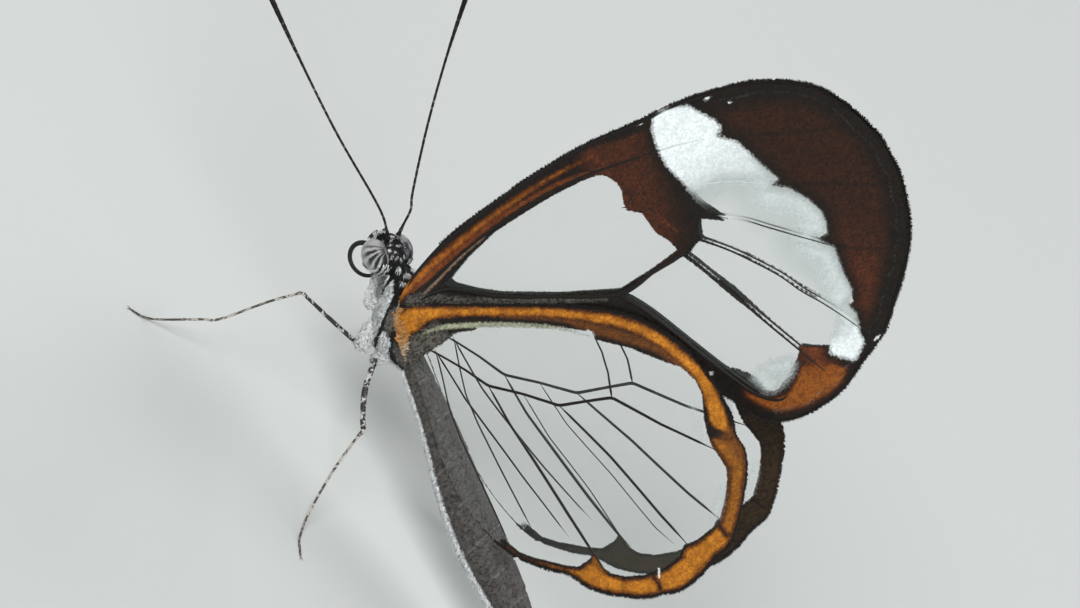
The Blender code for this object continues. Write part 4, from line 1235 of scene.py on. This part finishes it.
def make_feelers():
    finish = feeler_material()
    share = np.linspace(0, 1, FEELER_STEPS)
    slim = FEELER_SLIM + (FEELER_CLUB - FEELER_SLIM) * smooth(0.55, 0.93, share)
    base = 0.075 * hump(share, 0.010) + 0.03 * hump(share - 0.022, 0.008)
    ring = np.abs(np.sin(np.pi * FEELER_RINGS * share)) ** 0.6
    tip = np.sqrt(np.clip(1.0 - smooth(0.965, 1.0, share) ** 2, 0.0, 1.0))
    radius = (slim * (0.90 + 0.10 * ring) + base) * np.maximum(tip, 0.06)
    pale = np.repeat(hump(ring, 0.55) * smooth(0.9, 0.5, share), FEELER_SIDES)
    for word, places in (("left", FEELER_LEFT), ("right", FEELER_RIGHT)):
        mesh = tube_mesh(curve_through(places, FEELER_STEPS), radius, FEELER_SIDES)
        mesh_piece("antenna_%s_rings" % word, *mesh, "feeler", finish, ("antenna_" + word,),
                   {"pale_ring": np.append(pale, [0.0, 0.0])})


COIL_PLACE = (-6.35, 0.06, 7.70)
COIL_OUTER, COIL_DROP, COIL_TURNS, COIL_START_DEG = 0.94, 0.46, 1.3, 52.0
TONGUE_STEPS = 420


def make_tongue():
    """The proboscis: a turn and a third under the head, finely ringed, its end inside."""
    turns = np.linspace(0, 1, TONGUE_STEPS) * COIL_TURNS
    angle = np.radians(COIL_START_DEG) + turns * 2 * np.pi
    radius = COIL_OUTER - 0.12 - COIL_DROP * smooth(0.85, COIL_TURNS, turns)
    across = 0.05 * turns / COIL_TURNS - 0.02
    path = np.column_stack([np.cos(angle) * radius, across, np.sin(angle) * radius]) + COIL_PLACE
    mouth = head_place(0.42, 0.0, -0.62)
    bend = (mouth + path[0] + [0.10, 0.0, 0.12]) / 2 + [0.04, 0.0, 0.06]
    path = np.vstack([curve_through([mouth, bend, path[0]], 40)[:-1], path])
    share = np.linspace(0, 1, len(path))
    thick = (0.142 - 0.080 * share) * (1.0 + 0.05 * np.sin(share * 520))
    s = Shader("tongue")
    grain = s.noise(5200.0, 3.0)
    finish = s.finish(
        Base_Color=s.mix(grain, (0.003, 0.003, 0.004), (0.018, 0.016, 0.015)),
        Roughness=s.between(grain, 0.35, 0.6), Normal=s.bump(grain, 0.3, 0.00002),
        Specular_IOR_Level=0.25,
    )
    mesh = tube_mesh(path, thick, 14, (0.0, 1.0, 0.0))
    mesh_piece("proboscis_coil", *mesh, "tongue", finish, ("proboscis",))


def scaly_material(name, dark, light, share):
    """Small scales of two tones: share is how many are the light one."""
    s = Shader(name)
    fleck, relief = s.grain(9000.0)
    patch = s.math("ADD", s.times(fleck, 0.45), s.noise(2600.0, 3.0, 0.6))
    colour = s.mix(s.ramp(patch, 1.28 - share, 1.34 - share, kind="LINEAR"), dark, light)
    colour = s.mix(s.times(relief, 0.35), colour, scaled(dark, 0.6))
    # The skin of a hairy lobe takes a painted shade under its hair.
    return s.finish(
        Base_Color=s.shaded(colour), Roughness=s.between(fleck, 0.45, 0.75),
        Normal=s.bump(relief, 0.5),
    )


# Legs: x, y, z and radius from the trochanter to the claws; the last four rows are the tarsus.
LEGS = {
    "midleg_left": (
        (-3.45, -0.80, 5.22, 0.10), (-3.75, -1.10, 5.28, 0.11), (-5.10, -1.95, 5.50, 0.10),
        (-6.30, -2.78, 5.78, 0.085), (-6.68, -3.00, 5.80, 0.085), (-6.86, -3.20, 5.42, 0.065),
        (-7.25, -3.70, 4.35, 0.06), (-7.84, -4.60, 2.25, 0.06), (-8.30, -5.05, 1.70, 0.06),
        (-8.71, -5.50, 1.28, 0.055), (-9.60, -6.30, 0.42, 0.05), (-10.10, -6.70, 0.20, 0.05),
        (-10.62, -7.04, 0.19, 0.045),
    ),
    "hindleg_left": (
        (-2.20, -1.00, 5.70, 0.12), (-2.00, -1.25, 5.50, 0.14), (-1.28, -1.90, 4.85, 0.15),
        (-0.30, -2.66, 4.42, 0.13), (0.20, -3.00, 4.26, 0.11), (0.34, -3.25, 3.90, 0.075),
        (0.84, -4.00, 2.70, 0.065), (1.42, -4.80, 1.65, 0.06), (1.75, -5.22, 1.18, 0.06),
        (2.10, -5.65, 0.75, 0.055), (2.70, -6.25, 0.25, 0.05), (3.10, -6.62, 0.20, 0.05),
        (3.50, -6.95, 0.19, 0.045),
    ),
    "midleg_right": (
        (-3.40, 0.95, 5.45, 0.10), (-3.55, 1.35, 5.65, 0.11), (-3.90, 2.20, 6.10, 0.10),
        (-4.15, 3.00, 6.30, 0.085), (-4.25, 3.30, 6.35, 0.085), (-4.24, 3.55, 5.95, 0.065),
        (-4.20, 4.30, 4.60, 0.06), (-4.05, 5.45, 2.45, 0.06), (-3.94, 6.00, 1.80, 0.06),
        (-3.80, 6.60, 1.20, 0.055), (-3.60, 7.60, 0.42, 0.05), (-3.50, 8.10, 0.20, 0.05),
        (-3.42, 8.62, 0.19, 0.045),
    ),
    "hindleg_right": (
        (-2.15, 0.95, 5.75, 0.12), (-1.80, 1.22, 5.66, 0.14), (-0.60, 1.80, 5.35, 0.15),
        (1.00, 2.52, 5.08, 0.13), (1.60, 2.70, 4.95, 0.11), (1.85, 2.80, 4.62, 0.075),
        (3.10, 3.20, 3.40, 0.065), (4.70, 3.70, 1.85, 0.06), (5.35, 3.90, 1.35, 0.06),
        (6.00, 4.10, 0.95, 0.055), (7.20, 4.45, 0.32, 0.05), (7.80, 4.60, 0.20, 0.05),
        (8.40, 4.78, 0.19, 0.045),
    ),
}
KNEE_ROW, ANKLE_ROW = 4, 9  # where the tibia and the tarsus start
TARSUS_JOINTS = 5
LEG_STEPS, LEG_SIDES = 420, 14
# Hairy lobes: the coxae, and a folded foreleg as it is on the right side.
COXAE = {
    "midleg_left": (
        (-3.62, -0.62, 6.75, 0.36), (-3.42, -0.74, 6.15, 0.40), (-3.22, -0.82, 5.62, 0.36),
        (-3.14, -0.86, 5.34, 0.24), (-3.36, -0.86, 5.20, 0.12),
    ),
    "hindleg_left": (
        (-2.10, -0.40, 6.60, 0.40), (-2.12, -0.55, 6.00, 0.38), (-2.18, -0.78, 5.62, 0.30),
        (-2.20, -0.98, 5.55, 0.15),
    ),
    "midleg_right": (
        (-3.62, 0.62, 6.75, 0.36), (-3.42, 0.74, 6.15, 0.40), (-3.22, 0.82, 5.72, 0.36),
        (-3.20, 0.88, 5.50, 0.24), (-3.34, 0.92, 5.42, 0.12),
    ),
    "hindleg_right": (
        (-2.10, 0.40, 6.60, 0.40), (-2.12, 0.55, 6.00, 0.38), (-2.12, 0.78, 5.72, 0.30),
        (-2.15, 0.95, 5.65, 0.15),
    ),
}
FORELEG = (
    (-4.20, 0.46, 7.00, 0.15), (-4.50, 0.52, 6.88, 0.18), (-4.84, 0.50, 7.14, 0.17),
    (-5.10, 0.44, 7.52, 0.13), (-5.34, 0.38, 7.95, 0.15), (-5.50, 0.32, 8.30, 0.10),
)
# Below FLOOR_FAR the legs start to come down, and below FLOOR_NEAR they are all the way down.
FLOOR_NEAR, FLOOR_FAR = 0.35, 1.6
CAD_FOOT = 0.25  # the radius of the feet in the solids
# Blades of hair on each hairy lobe, on the skins, behind each eye and at the wing roots.
SHAG_COUNT, BODY_TUFTS, BELLY_TUFTS, CHEEK_COUNT, ROOT_TUFTS = 1500, 15000, 9000, 1300, 5200
# The hair behind an eye: its arc in degrees, and its distance from the eye's middle in radii.
CHEEK_ARC, CHEEK_REACH = (-80.0, 35.0), (0.84, 1.16)


def leg_path(rows):
    """The leg's middle line; near the floor it comes down so its slim feet rest on it."""
    line = curve_through(rows, LEG_STEPS)
    near = smooth(FLOOR_FAR, FLOOR_NEAR, line[:, 2])
    lowered = line[:, 2] - near * (CAD_FOOT - line[:, 3]) * 0.75
    line[:, 2] = np.maximum(lowered, line[:, 3] * 0.92)
    return line


def claws(tip, ahead, across):
    """Two small hooks."""
    parts = []
    t = np.linspace(0, 1, 9)[:, None]
    rise = np.array([0, 0, 1.0]) * (0.03 * np.sin(t * np.pi) - 0.03 * t)
    for turn in (-1.0, 1.0):
        path = tip + ahead * 0.16 * t + across * turn * (0.03 + 0.07 * t) + rise
        path[:, 2] = np.maximum(path[:, 2], 0.024)
        parts.append(tube_mesh(path, 0.022 * (1 - 0.8 * t[:, 0]), 7))
    return parts


def make_leg(node, rows, finishes):
    """Femur, tibia and tarsus as one tube with a material each, and the claws."""
    line = leg_path(rows)
    travelled = travel(line[:, :3])
    reach = np.linalg.norm(line[:, None, :2] - rows[None, :, :2], axis=2)
    knee, ankle = travelled[np.argmin(reach, axis=0)[[KNEE_ROW, ANKLE_ROW]]]
    joint = 0.0
    for place, size in ((0.14, 0.25), (knee, 0.25), (ankle, 0.22)):
        gap = travelled - place
        joint = joint + size * (0.5 * hump(np.abs(gap) - 0.11, 0.07) - hump(gap, 0.045))
    tarsus = np.clip((travelled - ankle) / (travelled[-1] - ankle), 0, 1)
    beads = 0.16 * np.abs(np.sin(np.pi * TARSUS_JOINTS * tarsus**0.8)) - 0.06
    radius = line[:, 3] * (1.0 + joint + np.where(travelled > ankle, beads, 0.0))
    radius[-8:] *= np.linspace(1.0, 0.35, 8)
    ahead = unit(line[-1, :3] - line[-8, :3])
    across = np.cross(ahead, [0, 0, 1.0])
    tube = tube_mesh(line[:, :3], radius, LEG_SIDES)
    points, faces = joined([tube] + claws(line[-2, :3], ahead, across))
    made = mesh_piece(node + "_scaled", points, faces, "leg", finishes[0], (node,))
    for finish in finishes[1:]:
        made.data.materials.append(finish)
    stage = np.where(travelled > ankle, 2, np.where(travelled > knee, 1, 0))
    at = np.full(len(points), 2)
    at[: LEG_STEPS * LEG_SIDES] = np.repeat(stage, LEG_SIDES)
    at[LEG_STEPS * LEG_SIDES] = 0
    first = np.concatenate([f[:, 0] for f in faces])
    made.data.polygons.foreach_set("material_index", at[first].astype(np.int32))


def make_legs():
    scales = [
        scaly_material("leg_scales", (0.010, 0.009, 0.008), (0.52, 0.51, 0.48), 0.52),
        scaly_material("tibia_scales", (0.05, 0.042, 0.034), (0.46, 0.42, 0.36), 0.60),
        scaly_material("tarsus_scales", (0.030, 0.022, 0.016), (0.25, 0.21, 0.17), 0.50),
    ]
    pale = scaly_material("coxa_scales", (0.42, 0.42, 0.41), (0.93, 0.94, 0.93), 0.92)
    hairy = []

    # Each hairy lobe's skin carries an even painted shade under its hair.
    def lobe(name, node, line, sides, shade, nodes=()):
        points, faces = tube_mesh(line[:, :3], line[:, 3], sides)
        marks = {"shade": np.full(len(points), shade)}
        mesh_piece(name, points, faces, "leg", pale, nodes, marks)
        hairy.append((node, points[:-2].reshape(len(line), sides, 3)))

    for node, rows in LEGS.items():
        make_leg(node, np.array(rows), scales)
        coxa = curve_through(COXAE[node], 60)
        coxa[-3:, 3] *= [0.9, 0.7, 0.4]
        lobe(node + "_coxa", node, coxa, 28, 0.25)
    for word, side in SIDES:
        node = "foreleg_" + word
        line = curve_through(np.array(FORELEG) * [1, side, 1, 1], 80)
        lobe(node + "_scaled", node, line, 18, 0.3, (node,))
    for node, ring in hairy:
        place, back, out, spots, rng = scatter(ring, SHAG_COUNT, 31)
        back += rng.normal(0, 0.22, back.shape) + out * rng.uniform(0.02, 0.22, (SHAG_COUNT, 1))
        length = rng.uniform(0.15, 0.36, SHAG_COUNT)
        width = rng.uniform(0.03, 0.06, SHAG_COUNT)
        mesh = blades(place, unit(back), out, length, width, rng)
        tuft_piece(node + "_hair", mesh, "leg", spots, pale)


# Forward place, up place and radius along a palp.
PALP_PATH = (
    (0.30, -0.66, 0.13), (0.62, -0.72, 0.15), (0.92, -0.52, 0.15), (1.05, -0.18, 0.12),
    (1.08, 0.10, 0.08), (1.10, 0.30, 0.03),
)


def make_palps():
    finish = scaly_material("palp_scales", (0.008, 0.008, 0.008), (0.74, 0.74, 0.72), 0.60)
    f, u, size = np.array(PALP_PATH).T
    for word, side in SIDES:
        places = head_place(f, side * (0.20 + 0.05 * f), u)
        line = curve_through(np.column_stack([places, size]), 90)
        mesh = tube_mesh(line[:, :3], line[:, 3], 18)
        mesh_piece("palp_%s_scaled" % word, *mesh, "palp", finish, ("palp_" + word,))


def body_density(spot):
    """No tufts under the eyes or inside the waist, and more of them on the head."""
    f, r, u = in_head(spot)
    away = np.column_stack([f - EYE_MIDDLE[0], np.abs(r) - EYE_OUT, u - EYE_MIDDLE[1]])
    open_skin = (np.linalg.norm(away / EYE_RADII, axis=1) > 1.0) & (spot[:, 0] < -1.0)
    return open_skin * np.where(f > HEAD_BACK, 1.3, 1.0) + 1e-9


def belly_density(spot):
    share = 0.12 + 2.0 * smooth(-0.1, 0.1, abdomen_marks(spot)["white"])
    return share * (spot[:, 0] > -0.9) * (spot[:, 0] < 13.0)


def make_coat(ring, belly, scales):
    """Tufts of head and thorax, combed back and down, and the flat scales of the abdomen."""
    place, back, out, spots, rng = scatter(ring, BODY_TUFTS, 3, body_density)
    on_head = in_head(place)[0] > HEAD_BACK
    marks = body_marks(place)
    down = np.array([0.25, 0.0, -1.0]) / 1.03
    side_way = back * 0.55 + down * np.clip(1.0 - np.abs(out[:, 2:3]), 0, 1) * 1.1
    head_way = back * 0.5 + (place - HEAD_CENTRE) * 0.25 + AHEAD * 0.5
    ahead = along_skin(np.where(on_head[:, None], head_way, side_way), out)
    ahead = ahead + rng.normal(0, 0.22, ahead.shape)
    head_lift, lift = (rng.uniform(*ends, BODY_TUFTS) for ends in ((0.25, 0.8), (0.10, 0.42)))
    ahead = lifted(along_skin(ahead, out), out, np.where(on_head, head_lift, lift))
    pale = smooth(-0.02, 0.06, marks["white"])
    length = np.where(on_head, 0.12, 0.20 + 0.10 * pale) * rng.uniform(0.6, 1.3, BODY_TUFTS)
    length = length + 0.16 * smooth(0.6, 0.95, out[:, 2]) * ~on_head * rng.random(BODY_TUFTS)
    width = np.where(on_head, 0.030, 0.042) * rng.uniform(0.7, 1.3, BODY_TUFTS)
    mesh = blades(place, ahead, out, length, width, rng)
    jitter = rng.normal(0, 0.025, BODY_TUFTS)
    marks = {key: value + jitter for key, value in marks.items()}
    tuft_piece("body_coat", mesh, "body_skin", spots, scales["body"], marks)

    place, back, out, spots, rng = scatter(belly, BELLY_TUFTS, 5, belly_density)
    marks = abdomen_marks(place)
    lift = rng.uniform(0.06, 0.28, BELLY_TUFTS)
    lift = lift + 0.35 * smooth(0.0, 0.1, marks["white"]) * rng.random(BELLY_TUFTS)
    ahead = along_skin(back + rng.normal(0, 0.10, back.shape), out)
    length = rng.uniform(0.08, 0.17, BELLY_TUFTS) * (1.0 + 0.7 * smooth(-0.05, 0.1, marks["white"]))
    width = rng.uniform(0.03, 0.05, BELLY_TUFTS)
    mesh = blades(place, lifted(ahead, out, lift), out, length, width, rng)
    jitter = rng.normal(0, 0.02, BELLY_TUFTS)
    marks = {key: value + jitter for key, value in marks.items()}
    tuft_piece("abdomen_coat", mesh, "abdomen_skin", spots, scales["belly"], marks)


def make_cheeks(scales):
    """White and black hair that lies along the back rim of each eye."""
    rng = np.random.default_rng(23)
    turn = np.radians(rng.uniform(*CHEEK_ARC, CHEEK_COUNT))
    reach = rng.uniform(*CHEEK_REACH, CHEEK_COUNT)
    dome = EYE_RADII[1] * np.sqrt(np.clip(1.0 - reach**2, 0.0, 1.0))
    f = EYE_MIDDLE[0] - EYE_RADII[0] * reach * np.cos(turn)
    u = EYE_MIDDLE[1] + EYE_RADII[2] * reach * np.sin(turn)
    near, far = CHEEK_REACH
    spots = [(turn - turn.min()) / np.ptp(turn), (reach - near) / (far - near)]
    spots = 0.1 + 0.8 * np.column_stack(spots)
    marks = {key: np.full(CHEEK_COUNT, -1.0) for key in ("grey", "cream")}
    marks["white"] = np.where(np.sin(38.0 * reach + 1.5 * turn) > -0.35, 0.3, -0.3)
    length = rng.uniform(0.14, 0.26, CHEEK_COUNT)
    width = rng.uniform(0.04, 0.07, CHEEK_COUNT)
    sine, cosine = np.sin(turn)[:, None], np.cos(turn)[:, None]
    for word, side in SIDES:
        roots = head_place(f, side * (EYE_OUT + dome - 0.30 * np.clip(reach - 0.95, 0, 1)), u)
        out = side * RIGHT * 0.8 - cosine * AHEAD * 0.6 + sine * UP * 0.6
        ahead = -sine * AHEAD - cosine * UP + 0.25 * side * RIGHT
        ahead = unit(ahead + rng.normal(0, 0.12, ahead.shape))
        mesh = blades(roots, ahead, out, length, width, rng)
        tuft_piece("cheek_%s_coat" % word, mesh, "body_skin", spots, scales["body"], marks)


def hinge_material():
    """Orange to tan scales round the wing roots."""
    s = Shader("hinge_scales")
    fleck, relief = s.grain(11000.0)
    orange = s.mix(fleck, (0.32, 0.125, 0.018), (0.66, 0.30, 0.055))
    tan = s.mix(fleck, (0.30, 0.22, 0.14), (0.66, 0.55, 0.42))
    return s.finish(
        Base_Color=s.mix(s.attribute("tan"), orange, tan), Normal=s.bump(relief, 0.4),
        Roughness=s.between(fleck, 0.45, 0.75),
    )


def root_density(spot):
    """Tufts grow along the foot of the hindwing and round the foot of the forewing."""
    x, _, z = spot.T
    fore = np.hypot((x + 3.75) / 0.30, (z - 8.95) / 0.30)
    above = (z - 8.58 + 0.66 * (x + 3.9)) / 1.27
    hind = (above > -0.16) & (above < 0.9) & (x > -3.6) & (x < -1.45)
    return (hind | (fore < 1.0)) * 1.0 + 1e-9


def make_hinges(ring):
    """Tufts where the wings leave the thorax, lying out along the wings."""
    place, _, out, spots, rng = scatter(ring, ROOT_TUFTS, 11, root_density)
    x, y, z = place.T
    back, up = (mean + 0.2 * rng.normal(size=ROOT_TUFTS) for mean in (0.55, 0.75))
    ahead = np.column_stack([back, 0.0 * y, up])
    ahead += out * rng.uniform(0.05, 0.35, (ROOT_TUFTS, 1)) * 0.6
    ahead[:, 1] += np.sign(y) * 0.12
    length = rng.uniform(0.16, 0.36, ROOT_TUFTS)
    width = rng.uniform(0.035, 0.06, ROOT_TUFTS)
    mesh = blades(place, unit(ahead), out, length, width, rng)
    tan = smooth(0.5, 0.0, np.hypot((x + 3.35) / 0.9, (z - 8.75) / 0.5))
    tan = tan + 0.25 * rng.random(ROOT_TUFTS)
    tan = np.maximum(tan, smooth(-2.45, -1.95, x) * (0.55 + 0.45 * rng.random(ROOT_TUFTS)))
    marks = {"tan": np.clip(tan, 0, 1)}
    tuft_piece("wing_root_coat", mesh, "body_skin", spots, hinge_material(), marks)


def make_animal():
    ring, belly, scales = make_body()
    make_eyes()
    make_feelers()
    make_tongue()
    make_palps()
    make_legs()
    make_coat(ring, belly, scales)
    make_cheeks(scales)
    make_hinges(ring)


# Camera, floor and lights


def add_to_scene(name, data):
    made = bpy.data.objects.new(name, data)
    bpy.context.scene.collection.objects.link(made)
    return made


def make_camera():
    """The photograph's view: from the left, a little above, the frame rolled."""
    tilt, roll = np.radians(VIEW_TILT_DEG), np.radians(VIEW_ROLL_DEG)
    ahead = np.array([0.0, np.cos(tilt), -np.sin(tilt)])
    level_up = np.array([0.0, np.sin(tilt), np.cos(tilt)])
    level_right = np.array([1.0, 0.0, 0.0])
    right = np.cos(roll) * level_right + np.sin(roll) * level_up
    up = -np.sin(roll) * level_right + np.cos(roll) * level_up
    spot = metres(VIEW_CENTRE) - ahead * VIEW_DISTANCE * MM
    camera = add_to_scene("camera", bpy.data.cameras.new("camera"))
    camera.data.sensor_fit = "HORIZONTAL"
    camera.data.sensor_width = SENSOR_MM
    camera.data.lens = SENSOR_MM * PX_PER_MM * VIEW_DISTANCE / FRAME_WIDTH_PX
    camera.data.clip_start, camera.data.clip_end = 0.01, 20.0
    camera.matrix_world = Matrix(
        [[right[i], up[i], -ahead[i], spot[i]] for i in range(3)] + [[0, 0, 0, 1]]
    )
    bpy.context.scene.camera = camera


FLOOR_HALF = 2.0


def make_stage():
    mesh = bpy.data.meshes.new("floor")
    half = FLOOR_HALF
    corners = [(-half, -half, 0), (half, -half, 0), (half, half, 0), (-half, half, 0)]
    mesh.from_pydata(corners, [], [(0, 1, 2, 3)])
    floor = add_to_scene("floor", mesh)
    mesh.materials.append(
        Shader("pale_floor").finish(Base_Color=(0.49, 0.505, 0.49), Roughness=0.85)
    )


# Lights: place and size in metres, power, colour.
LIGHTS = {
    "key": ((-0.12, -0.25, 0.36), 0.22, 2.4, (1.0, 1.0, 1.0)),
    "fill": ((0.28, -0.22, 0.18), 0.30, 0.9, (0.95, 0.98, 1.0)),
    "back": ((0.10, 0.30, 0.30), 0.25, 1.2, (1.0, 1.0, 1.0)),
}


def make_lights():
    """A wide key from above on the head's side, a fill from the tail and a rim light."""
    for name, (place, size, power, colour) in LIGHTS.items():
        light = bpy.data.lights.new(name, "AREA")
        light.shape, light.size, light.energy, light.color = "DISK", size, power, colour
        made = add_to_scene(name, light)
        made.location = place
        way = Vector(metres(VIEW_CENTRE)) - Vector(place)
        made.rotation_euler = way.to_track_quat("-Z", "Y").to_euler()
    world = bpy.data.worlds.new("studio")
    world.use_nodes = True
    sky = world.node_tree.nodes["Background"].inputs
    sky["Color"].default_value = (0.85, 0.9, 0.95, 1.0)
    sky["Strength"].default_value = 0.45
    bpy.context.scene.world = world


bpy.context.scene.view_settings.view_transform = "Standard"
bpy.context.scene.view_settings.exposure = EXPOSURE
make_camera()
make_stage()
make_lights()
make_wings()
make_animal()
